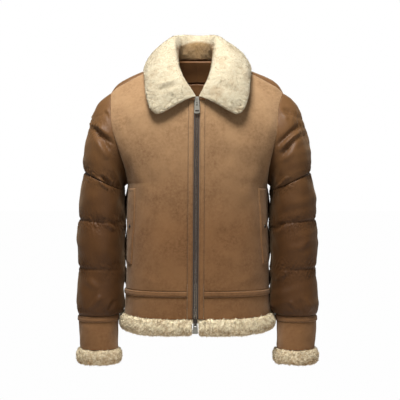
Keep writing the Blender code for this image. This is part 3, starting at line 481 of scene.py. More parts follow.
def stitches(name, path, out, finish, pitch=3.9, length=3.1, thick=0.55):
    """Top-stitching: at each pitch along the path lies one thread bead, five rings of five points each,
    whose radius falls to both ends. It sinks to about half its thickness."""
    steps = np.linalg.norm(np.diff(path, axis=0), axis=1)
    run = np.concatenate([[0], np.cumsum(steps)])
    centres = np.arange(pitch * 0.7, run[-1] - pitch * 0.5, pitch)
    at = np.stack([np.interp(centres, run, path[:, k]) for k in range(3)], -1)
    ahead = np.stack([np.interp(centres + 0.5, run, path[:, k]) for k in range(3)], -1) - at
    ahead /= np.maximum(np.linalg.norm(ahead, axis=1, keepdims=True), 1e-9)
    up = np.stack([np.interp(centres, run, out[:, k]) for k in range(3)], -1)
    up /= np.linalg.norm(up, axis=1, keepdims=True)
    across = np.cross(ahead, up)
    angle = np.arange(5) * 2 * np.pi / 5
    slide = np.array([-0.5, -0.38, 0.0, 0.38, 0.5]) * length
    radius = np.array([0.12, 0.8, 1.0, 0.8, 0.12]) * thick
    ring = (across[:, None, None] * np.cos(angle)[None, None, :, None]
            + up[:, None, None] * np.sin(angle)[None, None, :, None]) * radius[None, :, None, None]
    middles = (at + up * thick * 0.45)[:, None] + ahead[:, None] * slide[:, None]
    points = middles[:, :, None] + ring
    shift = (np.arange(len(centres)) * 25)[:, None, None]
    quads = (skin_of(np.arange(25).reshape(5, 5))[:, ::-1] + shift).reshape(-1, 4)
    caps = np.array([[0, 2, 1], [0, 3, 2], [0, 4, 3], [20, 21, 22], [20, 22, 23], [20, 23, 24]])
    triangles = (caps[None] + shift).reshape(-1, 3)
    made = put_mesh(name, points.reshape(-1, 3), quads, [finish], triangles=triangles)
    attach(made, "jacket")
    return made


# The thread's below tint is painted shade towards the bottom as well.
thread = finish_of("Waxed thread", (0.10, 0.052, 0.024), (0.14, 0.075, 0.036), (0.18, 0.10, 0.05),
                   90, 900, 2500, 0.0002, below=(0.75, 0.7, 0.65), Roughness=0.7)
tape_weave = finish_of("Woven zip tape", (0.030, 0.022, 0.017), (0.045, 0.034, 0.027), (0.06, 0.047, 0.04),
                       120, 1500, 2200, 0.0003, Roughness=0.85)
old_brass = finish_of("Antique brass", (0.05, 0.042, 0.036), (0.095, 0.078, 0.064), (0.17, 0.14, 0.115),
                      160, 900, 1500, 0.0001, Roughness=0.42, Metallic=1.0)
PLACKET_TOP_Z, PLACKET_END_Z = -82.0, -615.5
levels = np.linspace(PLACKET_TOP_Z, PLACKET_END_Z, 170)
for side_name, side in SIDES.items():
    across = np.array([0, 0.04, 0.12, 0.3, 0.5, 0.7, 0.88, 0.96, 1.0])
    rise = np.array([0.9, -0.4, -1.1, -1.25, -1.2, -1.2, -1.1, -0.5, 0.5])
    from_zip = side * (PLACKET_FROM + (PLACKET_TO - 0.35 - PLACKET_FROM) * across)
    outer = zip_line(levels[:, None], from_zip, rise)
    outer[..., 1] += 0.22 * ripple(outer, 40, 21) * np.sin(np.pi * across)
    inner = zip_line(levels[:, None], from_zip, np.full(9, 1.8))
    strip = cloth(f"placket_{side_name}_suede", outer, inner, [suede])
    path = outer[2:-2, 2] * 0.5 + outer[2:-2, 3] * 0.5
    row = stitches(f"placket_{side_name}_stitches", path, np.tile([0.0, -1.0, 0.0], (len(path), 1)), thread)
    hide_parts(f"placket_{side_name}")
    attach(strip, "jacket")
    from_zip = side * np.array([3.4, 3.7, 5.0, 8.0, 12.0, 16.0])
    outer = zip_line(levels[:, None], from_zip, np.array([1.9, 1.6, 2.1, 2.15, 2.2, 2.2]))
    inner = zip_line(levels[:, None], from_zip, 3.2)
    tape = cloth(f"tape_{side_name}_woven", outer, inner, [tape_weave])
    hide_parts(f"zip_tape_{side_name}")
    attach(tape, "jacket")

PITCH = 2.6
heights = np.arange(ZIP_TOP_Z - 2.4, ZIP_BOTTOM_Z + 1.6, -PITCH / 2)
sign = np.where(np.arange(len(heights)) % 2 == 0, 1.0, -1.0)
tooth = np.array([
    (-1.0, 0.55), (-0.6, 1.0), (0.5, 1.0), (1.0, 0.55),
    (1.0, -0.55), (0.5, -1.0), (-0.6, -1.0), (-1.0, -0.55),
])
reach = 0.9 + 2.05 * tooth[:, 0]
centre = zip_line(heights, 0.0, 1.1)
face = np.stack([centre[:, None, 0] + sign[:, None] * reach[None], np.zeros((len(heights), 8)),
                 centre[:, None, 2] + 1.08 * tooth[None, :, 1] * np.ones((len(heights), 1))], -1)
depths = np.array([(-1.45, 0.72), (-1.1, 1.0), (1.3, 1.0), (1.7, 0.72)])
rings = np.repeat(face[:, None], 4, 1)
mid = rings.mean(2, keepdims=True)
rings = mid + (rings - mid) * depths[None, :, 1, None, None]
rings[..., 1] = centre[:, None, None, 1] + depths[None, :, 0, None]
caps = np.array([[0, 1, 2, 3], [0, 3, 4, 7], [7, 4, 5, 6]])
one = np.concatenate([skin_of(np.arange(32).reshape(4, 8)), caps, caps[:, ::-1] + 24])
faces = one + (np.arange(len(heights)) * 32)[:, None, None]
faces[sign < 0] = faces[sign < 0][:, :, ::-1]
teeth = put_mesh("zip_teeth", rings.reshape(-1, 3), faces.reshape(-1, 4), [old_brass])
teeth.data.set_sharp_from_angle(angle=np.radians(35))
outwards(teeth)
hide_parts("zip_chain")
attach(teeth, "jacket")

# Sliders and pull tabs. Cast sliders close the chain from both ends, and a flat stamped tab hangs from a bar
# under each slider's arch. Both tabs and the top slider are nickel, the bottom slider is antique brass.
nickel = finish_of("Polished nickel", (0.36, 0.34, 0.28), (0.48, 0.45, 0.38), (0.58, 0.55, 0.47),
                   120, 700, 1100, 0.0001, Roughness=0.32, Metallic=1.0)
for name, finish in (("slider_top", nickel), ("pull_top", nickel), ("pull_bottom", nickel),
                     ("slider_bottom", old_brass)):
    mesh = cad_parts[name].data
    mesh.materials.clear()
    mesh.materials.append(finish)

# Pocket welts. Each side pocket opens under a slanting suede welt that is stitched down round its edge and
# closed with one snap, a spun metal cap on a ring.
# Share of the welt's height, then shares of the front's width at its inner and its outer edge
WELT = np.array([(0.0, 0.655, 0.775), (0.5, 0.61, 0.785), (1.0, 0.585, 0.785)])
WELT_BOTTOM_Z, WELT_TOP_Z = -486.0, -297.0
WELT_THICK, LAY_GAP = 2.9, 0.35
SNAP_Z, SNAP_SHARE, SNAP_RADIUS = -391.0, 0.70, 4.6
# Snap cap, from its foot to its crown: height, share of the radius
SNAP_CAP = np.array([
    (0, 0.96), (0.9, 1.0), (1.3, 0.92), (1.15, 0.84), (1.5, 0.8), (1.95, 0.6), (2.15, 0.3), (2.2, 0.05),
])
for side_name, side in SIDES.items():
    height = np.linspace(0, 1, 100)
    inner_share, outer_share = through(WELT, height).T
    row = (WELT_BOTTOM_Z + (WELT_TOP_Z - WELT_BOTTOM_Z) * height - WAIST_Z) / (UNDERARM_Z - WAIST_Z)
    across = np.linspace(0, 1, 15)
    share = inner_share[:, None] + (outer_share - inner_share)[:, None] * across
    plain = front_shape(row[:, None], share, side)
    out = facing(normals(plain), [side, -1, 0])
    under = plain + out * (front_relief(plain, out, side_name) + LAY_GAP + 0.15)[..., None]
    edge = np.clip(from_border(height.shape + across.shape) / 2.0, 0, 1) ** 0.5
    thick = 0.8 + 2.0 * edge + 0.25 * ripple(plain, 22, 31) * edge
    top = under + out * thick[..., None]
    welt = cloth(f"welt_{side_name}_suede", top, under, [suede])
    loop = np.concatenate([top[3:-3, 2], top[-4, 2:-2], top[3:-3, -3][::-1], top[3, 2:-2][::-1]])
    ways = np.concatenate([out[3:-3, 2], out[-4, 2:-2], out[3:-3, -3][::-1], out[3, 2:-2][::-1]])
    row_of_thread = stitches(f"welt_{side_name}_stitches", loop, ways, thread, 3.6, 2.8, 0.45)
    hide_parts(f"pocket_welt_{side_name}")
    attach(welt, "jacket")

    centre_row = (SNAP_Z - WAIST_Z) / (UNDERARM_Z - WAIST_Z)
    beside = np.array([-0.02, 0, 0.02])
    around = front_shape(centre_row + beside[:, None], SNAP_SHARE + beside[None], side)
    axis = facing(normals(around), [side, -1, 0])[1, 1]
    level = np.cross(axis, [0, 0, 1])
    level /= np.linalg.norm(level)
    upright = np.cross(level, axis)
    local = around[1, 1][None, None]
    bulge = front_relief(local, axis[None, None], side_name)
    centre = around[1, 1] + axis * (LAY_GAP + 0.15 + WELT_THICK + bulge[0, 0])
    angle = np.linspace(0, 2 * np.pi, 33)[:-1]
    circle = level * np.cos(angle)[:, None] + upright * np.sin(angle)[:, None]
    radius = SNAP_CAP[:, 1, None, None] * SNAP_RADIUS
    grid = centre + axis * SNAP_CAP[:, :1, None] + circle * radius
    index = np.arange(grid.shape[0] * 32).reshape(-1, 32)
    points = np.concatenate([grid.reshape(-1, 3), [grid[0].mean(0), grid[-1].mean(0)]])
    snap = put_mesh(f"snap_{side_name}_cap", points, skin_of(index), [old_brass], triangles=pole_fans(index))
    outwards(snap)
    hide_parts(f"pocket_snap_{side_name}")
    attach(snap, "jacket")

# Waist strip and hem band. A narrow suede strip covers the seam between the body and the hem band, and is
# stitched along both edges. The band below it is one layer of the same shearling.
STRIP_DEPTH = 13.5


def front_band_row(z, share, side, proud=0.0):
    """The front's cross-section at level z, from the front edge to the side seam."""
    z, share = np.broadcast_arrays(np.asarray(z, float), share)
    level = through(BODY_LEVELS, z)
    start = np.stack([front_edge_x(z, side), -level[..., 1] - proud, z], -1)
    end = np.stack([side * (level[..., 0] + proud), np.full(z.shape, SIDE_Y), z], -1)
    return arc_row(start, end, share, 2.4)


def back_band_row(z, across, proud=0.0):
    """The back's cross-section at level z, from one side seam to the other."""
    z, across = np.broadcast_arrays(np.asarray(z, float), across)
    level = through(BODY_LEVELS, z)
    start = np.stack([np.zeros(z.shape), level[..., 2] + proud, z], -1)
    end = np.stack([np.sign(across) * (level[..., 0] + proud), np.full(z.shape, SIDE_Y), z], -1)
    return arc_row(start, end, np.abs(across), 2.3)


def hem_edge_z(y):
    """The suede ends a little higher at the sides than at the front and back."""
    return -616.0 + 9.0 * np.clip(1 - np.abs(y - SIDE_Y) / 130, 0, 1)


def band_row(name, z, proud):
    """The row of points of the left, right or back band at level z, pushed out by proud."""
    if name == "back":
        return back_band_row(z, np.linspace(-1, 1, 172)[None], proud)
    return front_band_row(z, np.linspace(0, 1, 91)[None], SIDES[name], proud)


hem_edges = {}
sides_only = ("first_column", "last_column")
for name in (*SIDES, "back"):
    strip_top, strip_bottom = WAIST_Z - SEAM_GAP, WAIST_Z - STRIP_DEPTH + SEAM_GAP
    levels = np.linspace(strip_top, strip_bottom, 13)[:, None]
    rise = 0.8 + 2.5 * np.sin(np.pi * np.linspace(0, 1, 13)[:, None]) ** 0.5
    outer = short_of_seams(band_row(name, levels, rise), edges=sides_only)
    way = outer[2:-2] - band_row(name, levels, rise - 1)[2:-2]
    outer[2:-2] += way * (0.25 * ripple(outer[2:-2], 26, 41))[..., None]
    inner = short_of_seams(band_row(name, levels, -SUEDE), edges=sides_only)
    strip = cloth(f"waist_strip_{name}_suede", outer, inner, [suede, inside_pile], step=3)
    ways = outer[6] - band_row(name, levels, -1.0)[6]
    rows_of_thread = [stitches(f"waist_{name}_{edge}_stitches", outer[k], ways, thread, 3.6, 2.8, 0.4)
                      for edge, k in (("upper", 3), ("lower", 9))]
    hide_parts(f"waist_strip_{name}")
    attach(strip, "jacket")

    top, bottom = WAIST_Z - STRIP_DEPTH - SEAM_GAP, hem_edge_z(band_row(name, -610.0, 0.0)[..., 1])
    levels = top + (bottom - top) * np.linspace(0, 1, 28)[:, None]
    outer = short_of_seams(band_row(name, levels, 0.0), edges=sides_only)
    way = outer - short_of_seams(band_row(name, levels, -1.0), edges=sides_only)
    ease = np.clip(from_border(outer.shape[:2]) / 5, 0, 1)
    lifted = outer + way * (ease * (0.5 * ripple(outer, 60, 42) + 0.3 * ripple(outer, 28, 43)))[..., None]
    inner = short_of_seams(band_row(name, levels, -SUEDE), edges=sides_only)
    band = cloth(f"hem_band_{name}_suede", lifted, inner, [suede, inside_pile], step=3)
    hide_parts(f"hem_band_{name}")
    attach(band, "jacket")
    hem_edges[name] = (outer[-1], bottom)

# Pile edges of the hem and cuffs. The shearling is turned up so that its uncut wool makes a soft roll below
# the suede. The roll is the piece, and short curled tufts of wool stand on it.
# Section of the roll from the suede's edge: outwards, upwards
PILE_EDGE = np.array([
    (-1, 0), (6, -1), (11, -9), (12, -21), (8, -33), (-1, -37), (-9, -32), (-12, -20), (-10, -7), (-5, 0),
])
HEM_PILE_DEPTH, CUFF_PILE, UNDER_TUFTS = 1.1, 0.8, 1.32
# The wool's shade colour is painted shade, in the valleys between curls and on the underside of the rolls.
wool = finish_of("Shearling wool", (0.76, 0.63, 0.41), (0.88, 0.78, 0.55), (0.92, 0.86, 0.67),
                 60, 420, 500, 0.0012, shade=(0.46, 0.32, 0.19), Roughness=0.95, Sheen_Weight=0.2,
                 Sheen_Roughness=0.6, Sheen_Tint=(1.0, 0.93, 0.8, 1), Specular_IOR_Level=0.1)


def curls(points, size, seed):
    """Curled wool seen as round knobs: the absolute value of a ripple, so that knobs meet in sharp valleys.
    It puts out the height from 0 to about 1 and a mask of painted shade, which is 1 down in the valleys."""
    height = np.abs(ripple(points, size, seed))
    return np.minimum(height, 1.3) ** 0.7, np.clip(1 - height / 0.5, 0, 1)


def between(values, i, j, u, v):
    """The grid's values at shares u and v of the way across its cells i, j: a blend of the four corners."""
    return (values[i, j] * (1 - u) * (1 - v) + values[i + 1, j] * u * (1 - v)
            + values[i + 1, j + 1] * u * v + values[i, j + 1] * (1 - u) * v)


def tufts(name, grid, out, shade_and_mottle, finish, count, length, width, seed, lay=(0.0, 0.0, -0.25)):
    """Wool: blades of a quad and a triangle with one bend, set at seeded places of the grid with chance in
    proportion to area. A blade leans from the surface by a seeded amount, by the lay and with its neighbours,
    its flat side outwards. It takes the grid's painted shade and mottle, with painted shade added at its
    foot, down in the wool, and a lighter tip where the light reaches it."""
    chance = np.random.default_rng(seed)
    a, b, c, d = grid[:-1, :-1], grid[1:, :-1], grid[1:, 1:], grid[:-1, 1:]
    area = np.linalg.norm(np.cross(c - a, d - b), axis=-1).ravel()
    cell = chance.choice(area.size, size=count, p=area / area.sum())
    i, j = np.unravel_index(cell, a.shape[:2])
    u, v = chance.random((2, count, 1))
    foot, up = between(grid, i, j, u, v), between(out, i, j, u, v)
    up /= np.linalg.norm(up, axis=1, keepdims=True)
    clump = np.stack([ripple(foot, 9, seed + n) for n in (1, 2, 3)], -1) * 0.4
    way = up * 0.75 + chance.normal(size=(count, 3)) * 0.4 + clump + np.array(lay)
    way -= up * np.minimum((way * up).sum(1, keepdims=True) - 0.35, 0)
    way /= np.linalg.norm(way, axis=1, keepdims=True)
    across = np.cross(up, way)
    across /= np.maximum(np.linalg.norm(across, axis=1, keepdims=True), 1e-6)
    size = chance.uniform(0.6, 1.15, (count, 1))
    half = across * width * 0.5 * size
    foot = foot - up * 0.8
    middle = foot + way * length * size * 0.55
    bend = way + up * 0.1 + chance.normal(size=(count, 3)) * 0.35 - clump
    tip = middle + bend / np.linalg.norm(bend, axis=1, keepdims=True) * length * size * 0.5
    points = np.stack([foot - half, foot + half, middle + half * 0.8, middle - half * 0.8, tip], 1)
    start = (np.arange(count) * 5)[:, None]
    quads = start + np.array([[0, 1, 2, 3]])
    triangles = start + np.array([[3, 2, 4]])
    # Painted shade at each blade's foot, down in the wool, and a lighter tip.
    blade_shade_and_mottle = between(shade_and_mottle[..., None], i, j, u, v) + np.array([[0.35, 0.35, 0.05, 0.05, -0.15]])
    made = put_mesh(name, points.reshape(-1, 3), quads, [finish], triangles=triangles, shade_and_mottle=blade_shade_and_mottle)
    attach(made, "jacket")
    return made


def pile_roll(name, edge, outward, closed, depth):
    """A rolled pile edge: a closed smooth section carried along the cloth's lower edge, knobbly by the curls
    and ragged above. Open rolls are rounded off by smaller last sections, each closed to a point. It puts out
    the piece, its grid with the ring closed, and the grid's outward ways and values of painted shade and
    mottle."""
    loop = np.vstack([PILE_EDGE, PILE_EDGE[:1]])
    run = np.concatenate([[0], np.cumsum(np.linalg.norm(np.diff(loop, axis=0), axis=1))])
    table = np.column_stack([run, loop])
    extended = np.vstack([table[-4:-1] - [run[-1], 0, 0], table, table[1:4] + [run[-1], 0, 0]])
    section = through(extended, np.linspace(0, run[-1], 47)[:-1])
    steps = np.concatenate([[0], np.cumsum(np.linalg.norm(np.diff(edge, axis=0), axis=1))])
    stops = np.linspace(0, steps[-1], int(steps[-1] / 2.1))
    edge, outward = (np.stack([np.interp(stops, steps, path[:, k]) for k in range(3)], -1)
                     for path in (edge, outward))
    middle = section.mean(0)
    section = middle + (section - middle) * (1 - UNDER_TUFTS / 14)
    sections = edge[:, None, :] + outward[:, None, :] * section[:, :1]
    sections[..., 2] += section[:, 1] * depth - LAY_GAP
    way = facing(normals(sections, wrap=True), sections - sections.mean(1, keepdims=True))
    knob, valley_shade = curls(sections, 10.5, 51)
    sections = sections + way * (1.7 * knob - 1.0 + 0.9 * ripple(sections, 32, 52))[..., None]
    upper = np.clip((sections[..., 2] - sections[..., 2].mean(1, keepdims=True) - 6) / 8, 0, 1)
    sections[..., 2] += upper * (2.6 * np.abs(ripple(sections, 10, 54)) - 0.6)
    # Painted shade: in the valleys between curls, on the roll's underside, and over all of a closed cuff
    # roll, which the lamps light more; the small ripple is a random mottle.
    under = np.clip((sections[..., 2].mean(1, keepdims=True) - sections[..., 2]) / 30, 0, 0.3)
    shade_and_mottle = valley_shade * 0.5 + under + 0.08 * ripple(sections, 26, 53) + (0.22 if closed else 0.0)
    if closed:
        sections = np.concatenate([sections, sections[:1]])
        shade_and_mottle = np.concatenate([shade_and_mottle, shade_and_mottle[:1]])
    else:
        for k, size in ((0, 0.66), (1, 0.88), (2, 0.96)):
            for end in (k, -1 - k):
                mid = sections[end].mean(0)
                sections[end] = mid + (sections[end] - mid) * size
    index = np.arange(shade_and_mottle.size).reshape(shade_and_mottle.shape)
    if closed:
        index[-1] = index[0]
        points, shades, fans = sections[:-1], shade_and_mottle[:-1].ravel(), None
    else:
        points = np.concatenate([sections.reshape(-1, 3), [sections[0].mean(0), sections[-1].mean(0)]])
        shades = np.append(shade_and_mottle.ravel(), [0.3, 0.3])
        fans = pole_fans(index)
    made = put_mesh(name, points.reshape(-1, 3), skin_of(index), [wool], triangles=fans, shade_and_mottle=shades)
    outwards(made)
    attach(made, "jacket")
    grid = np.concatenate([sections, sections[:, :1]], 1)
    way = np.concatenate([way, way[:1]]) if closed else way
    return made, grid, np.concatenate([way, way[:, :1]], 1), np.concatenate([shade_and_mottle, shade_and_mottle[:, :1]], 1)


HEM_END = 8.0
for k, (name, (edge, bottom)) in enumerate(hem_edges.items()):
    outward = edge - band_row(name, bottom, -1.0)[0]
    if name == "back":
        outward[0], outward[-1] = [-1, 0, 0], [1, 0, 0]
    else:
        outward[0], outward[-1] = [0, -1, 0], [SIDES[name], 0, 0]
        run = np.linspace(1, 0.1, 6)[:, None] * np.array([-SIDES[name] * (PLACKET_TO - HEM_END), 0, 0])
        edge = np.vstack([edge[:1] + run, edge])
        outward = np.vstack([np.tile(outward[:1], (6, 1)), outward])
    roll, grid, way, shade_and_mottle = pile_roll(f"hem_{name}_roll", edge, outward, False, HEM_PILE_DEPTH)
    count = 22000 if name == "back" else 14000
    wool_on = tufts(f"hem_{name}_wool", grid, way, shade_and_mottle, wool, count, 4.8, 1.2, 60 + k)
    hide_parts(f"hem_fur_{name}")

# Quilted back. Two layers of fine nylon with down between them, stitched through in level lines. It is the
# wall of the jacket behind, and it rolls forward over the shoulders to the shoulder seams.
NYLON, BACK_PUFF, SHOULDER_LIFT = 3.0, 14.0, 11.0
BACK_LINES, BACK_NECK_SHARE = (0.2, 0.603, 1.0, 5 / 3, 7 / 3), 0.4
# The nylon's below tint is painted shade towards the bottom, and its shade colour is painted shade on the
# inner side of the arms and in the stitch lines.
nylon = finish_of("Down-proof nylon", (0.105, 0.048, 0.0165), (0.125, 0.059, 0.0205), (0.14, 0.068, 0.025),
                  30, 700, 2600, 0.00012, below=(0.68, 0.60, 0.53), shade=(0.35, 0.32, 0.28),
                  Roughness=0.5, Sheen_Weight=0.15, Sheen_Roughness=0.4, Sheen_Tint=(1.0, 0.7, 0.42, 1),
                  Specular_IOR_Level=0.16)
lining = finish_of("Woven lining", (0.11, 0.047, 0.015), (0.128, 0.055, 0.018), (0.15, 0.067, 0.023),
                   30, 900, 2400, 0.0001, Roughness=0.55, Specular_IOR_Level=0.25)


def back_shape(row, across):
    """Back panel: rows as on the front; across runs from -1 at the right to 1 at the left. The last row is
    bent on to the neckline and the two shoulder seams."""
    row, across = np.broadcast_arrays(row, across)
    share, side = np.abs(across), np.where(across < 0, -1.0, 1.0)
    z_low = WAIST_Z + (UNDERARM_Z - WAIST_Z) * np.clip(row, 0, 1)
    z_high = UNDERARM_Z + (NECK_BACK_Z - UNDERARM_Z) * np.clip(row - 1, 0, 2) / 2
    centre_z = np.where(row <= 1, z_low, z_high)
    start = np.stack([np.zeros(row.shape), through(BODY_LEVELS, centre_z)[..., 2], centre_z], -1)
    side_x = side * through(BODY_LEVELS, z_low)[..., 0]
    seam_low = np.stack([side_x, np.full(row.shape, SIDE_Y), z_low], -1)
    turn = 180 + 90 * np.clip(row - 1, 0, 2)
    hole = np.where((side > 0)[..., None], armhole(turn, 1), armhole(turn, -1))
    end = np.where((row <= 1)[..., None], seam_low, hole)
    bow = np.interp(row, [0, 1, 2, 2.5, 3], [2.3, 2.3, 1.9, 1.6, 1.3])
    shape = arc_row(start, end, share, bow)
    neck = through(NECKLINE, 2 - np.clip(share / BACK_NECK_SHARE, 0, 1))
    seam = through(SHOULDER, np.clip((share - BACK_NECK_SHARE) / (1 - BACK_NECK_SHARE), 0, 1))
    top = np.where((share < BACK_NECK_SHARE)[..., None], neck, seam)
    x = top[..., 0]
    top[..., 0] = np.where(x > SHOULDER_NECK_X, to_tip(x, side), x) * side
    level = np.zeros(row.shape)
    last_start = np.stack([level, level + BODY_LEVELS[-1, 3], level + NECK_BACK_Z], -1)
    last_end = np.where((side > 0)[..., None], armhole(level, 1), armhole(level, -1))
    last = arc_row(last_start, last_end, share, 1.3)
    blend = np.clip(row - 1.6, 0, 1.4)[..., None] / 1.4
    return shape + blend ** 2 * (top - last)


def back_puff(row, across):
    """Height of the down on the back: a sine arch between the level stitch lines, none at the seams."""
    row, across = np.broadcast_arrays(row, across)
    lines = (-0.2,) + BACK_LINES + (3.0,)
    puff = np.zeros(row.shape)
    for low, high in zip(lines, lines[1:]):
        share = (row - low) / (high - low)
        inside = (share > 0) & (share < 1)
        puff = np.where(inside, np.sin(np.pi * np.clip(share, 0, 1)) ** 0.62, puff)
    side_fade = np.clip((1 - np.abs(across)) / 0.14, 0, 1) ** 0.6
    waist_fade = np.clip(row / 0.05, 0, 1)
    return BACK_PUFF * puff * side_fade * waist_fade


def shoulder_lift(row, across):
    """Rise of the back's down just behind the shoulder seams, outside the collar."""
    behind = np.sin(np.pi * np.clip((3 - row) / 0.5, 0, 1)) ** 0.7
    beside = np.clip((np.abs(across) - 0.5) / 0.15, 0, 1)
    tip_fade = np.clip((1 - np.abs(across)) / 0.1, 0, 1) ** 0.6
    return SHOULDER_LIFT * behind * beside * tip_fade


def tucks(away, round_at, seed, spacing, reach=17.0, depth=2.4, slant=0.012):
    """Puckers beside a stitch line: narrow creases where a seeded sum of whole-number waves round the piece
    crosses zero, none on the line itself, deepest some way off it and fading with the distance away."""
    chance = np.random.default_rng(seed)
    total = np.zeros(np.broadcast(away, round_at).shape)
    numbers = np.arange(int(6.28 / spacing * 0.5), int(6.28 / spacing * 1.6))
    for wave in chance.choice(numbers, 5, replace=False):
        leaning = round_at + slant * away * chance.uniform(-1, 1)
        total = total + np.sin(wave * leaning + chance.uniform(0, 6.28))
    broad = np.sin(3 * round_at + chance.uniform(0, 6.28))
    gate = 0.55 + 0.45 * broad * np.sin(2 * round_at + chance.uniform(0, 6.28))
    crease = np.exp(-(total / 0.75) ** 2)
    near = np.exp(-(np.abs(away) / reach) ** 1.3) * (1 - np.exp(-np.abs(away) / 3.5))
    return (0.35 * total / 2.2 - crease) * depth * near * gate


rows = np.concatenate([np.linspace(0, 1, 96), np.linspace(1, 3, 110)[1:]])
underarm = 95
half = np.linspace(0, 1, 94)
across = np.concatenate([-half[:0:-1], half])
plain = back_shape(rows[:, None], across[None])
out = facing(normals(plain), [0, 1, 0.2])
for column in (0, -1):
    side = -1 if column == 0 else 1
    out[:underarm + 1, column] = [side, 0, 0]
    out[underarm:, column] = -into_armhole(180 + 90 * (rows[underarm:] - 1), side)
    out[underarm, column] = np.array([side, 0, -1]) / np.sqrt(2)
    out[-1, across * side > BACK_NECK_SHARE - 0.001] = [side * 0.42, -0.1, 0.9]
outer = short_of_seams(plain)
puff = back_puff(rows[:, None], across[None])
pucker = np.zeros(plain.shape[:2])
line_z = [plain[np.argmin(np.abs(rows - line))][None, :, 2] for line in (0.0,) + BACK_LINES]
for k, at_z in enumerate(line_z):
    away = plain[..., 2] - at_z
    pucker += tucks(away, plain[..., 0] / 60.0 + 10 * (away > 0), 70 + k, 0.16, 20.0, 2.8, 0.01)
ease = np.clip(from_border(plain.shape[:2]) / 6, 0, 1)
swell = 1 + 0.16 * ripple(plain, 120, 75) + 0.10 * ripple(plain, 45, 76)
puffed = outer + out * (puff * swell + pucker * ease)[..., None]
puffed[..., 2] += shoulder_lift(rows[:, None], across[None])
inside = outer - out * NYLON
back = cloth("back_quilted", puffed, inside, [nylon, lining], step=3)
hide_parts("back")
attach(back, "jacket")

# Neck facing and lining. Both are one thin dark brown cloth on the inside of the back, where the neck shows
# them: the facing is sewn in below the collar, and the lining hangs from its lower edge.
middle = np.abs(across) <= BACK_NECK_SHARE
for name, low, high, gap, give, flat, area in (
    ("neck_facing", 8 / 3, 3.0, 1.0, 0.4, (0.2, 0.1), 0.013),
    ("back_lining", 11 / 6, 8 / 3, 0.2, 1.2, (0.24, 0.16), 0.031),
):
    block = (rows >= low - 0.001) & (rows <= high + 0.001)
    lies_on = inside[block][:, middle]
    out_there = out[block][:, middle]
    near = short_of_seams(lies_on, gap=gap) - out_there * LAY_GAP
    ease = np.clip(from_border(near.shape[:2]) / 5, 0, 1)
    slack = (0.5 + 0.5 * ripple(near, 34, 81)) * ease * give
    layer = cloth(f"{name}_cloth", near, near - out_there * (1.0 + slack)[..., None], [lining])
    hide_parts(name)
    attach(layer, "jacket")

# Quilted sleeves. Each is a nylon tube filled with down in rings between stitch lines that slant down to the
# underarm, gathered a little along every line, and sewn into the armhole and on to the cuff.
SLEEVE_PUFF, CUFF_SEAM_Z = 9.0, -614.5
# Share of the length, outer x, outer z, inner x, inner z, middle y, half depth
SLEEVE = np.array([
    (0.00, 217, -56, 178, -284, -5, 84), (0.05, 234, -75, 184, -286, -3, 84),
    (0.10, 249, -97, 188, -288, -1, 84), (0.16, 263, -131, 191, -291, 1, 84),
    (0.23, 274, -168, 193, -295, 3, 84), (0.31, 281, -210, 195, -298, 4, 83),
    (0.40, 284, -255, 196, -302, 5, 82), (0.60, 296, -374, 196, -388, 3, 77),
    (0.80, 297, -494, 197, -502, -8, 69), (1.00, 298, -614.5, 200, -614.5, -22, 58),
])
SLEEVE_LINES, FULLER_INSIDE = (0.40, 0.60, 0.80, 1.00), (0.0, 0.0, 0.25, 0.8, 0.85, 0.75)
PRESSED_OUT = 4.2
SLEEVE_FOLDS = {
    "right": [(-262, -143, -205, -190, 7, -4.5), (-253, -153, -216, -204, 7, -3.5),
              (-246, -170, -224, -226, 9, 2.5), (-246, -268, -226, -300, 5, 2.6),
              (-240, -264, -218, -290, 4, -2.2), (-226, -98, -208, -118, 5, 3.0),
              (-232, -104, -214, -128, 5, -2.4), (-232, -380, -214, -402, 5, 2.0),
              (-262, -598, -240, -560, 6, 2.2), (-226, -600, -214, -572, 5, -2.0),
              (-272, -520, -246, -548, 9, 1.6)],
    "left": [(255, -138, 191, -195, 7, -4.5), (246, -152, 200, -206, 8, 3.0),
             (238, -170, 206, -226, 8, -2.6), (228, -266, 208, -296, 5, 2.4),
             (212, -96, 236, -118, 6, -3.2), (206, -104, 222, -130, 5, 2.6),
             (222, -380, 205, -404, 5, -2.0), (226, -500, 206, -530, 6, 2.0),
             (276, -604, 262, -566, 6, 2.4), (248, -602, 232, -574, 5, 2.0),
             (270, -420, 248, -452, 9, 1.6)],
}
SLEEVE_FOLDS_BEHIND = [
    (262, -142, 205, -200, 8, -4.0), (250, -158, 212, -222, 8, 2.8), (246, -270, 220, -300, 6, 2.2),
    (216, -96, 240, -118, 6, -2.6), (236, -388, 212, -410, 6, 2.0), (268, -600, 248, -566, 6, 2.0),
]


def arm_oval(sizes, turn, side):
    """Leaning oval round the arm, by sine and cosine, from a row of the sleeve's sizes."""
    outer_x, outer_z, inner_x, inner_z, middle_y, depth = np.moveaxis(sizes, -1, 0)
    angle = np.radians(turn)
    return np.stack([
        side * ((outer_x + inner_x) / 2 + (outer_x - inner_x) / 2 * np.cos(angle)),
        middle_y - depth * np.sin(angle),
        (outer_z + inner_z) / 2 + (outer_z - inner_z) / 2 * np.cos(angle),
    ], -1)


def sleeve_shape(along, turn, side):
    """Sleeve before the down puffs it: ovals from along 0 at the armhole, whose loop they blend into, to 1 at
    the cuff."""
    along, turn = np.broadcast_arrays(along, turn)
    keep = np.clip(1 - along / 0.4, 0, 1)[..., None] ** 1.6
    to_armhole = armhole(turn, side) - arm_oval(SLEEVE[0, 1:], turn, side)
    return arm_oval(through(SLEEVE, along), turn, side) + keep * to_armhole


def sleeve_lines(turn):
    """Level of each stitch line at a turn: the cap and chest lines, then slanting lines from the outer to the
    inner arm, by the cosine."""
    angle = np.radians(turn)
    cap = -124 + 25 * np.sin(angle) ** 2
    chest = -144 - 34 * (1 - np.cos(angle))
    ends = [through(SLEEVE, np.array(share)) for share in SLEEVE_LINES]
    return [cap + 80, cap, chest] + [end[3] + (end[1] - end[3]) * (1 + np.cos(angle)) / 2 for end in ends]


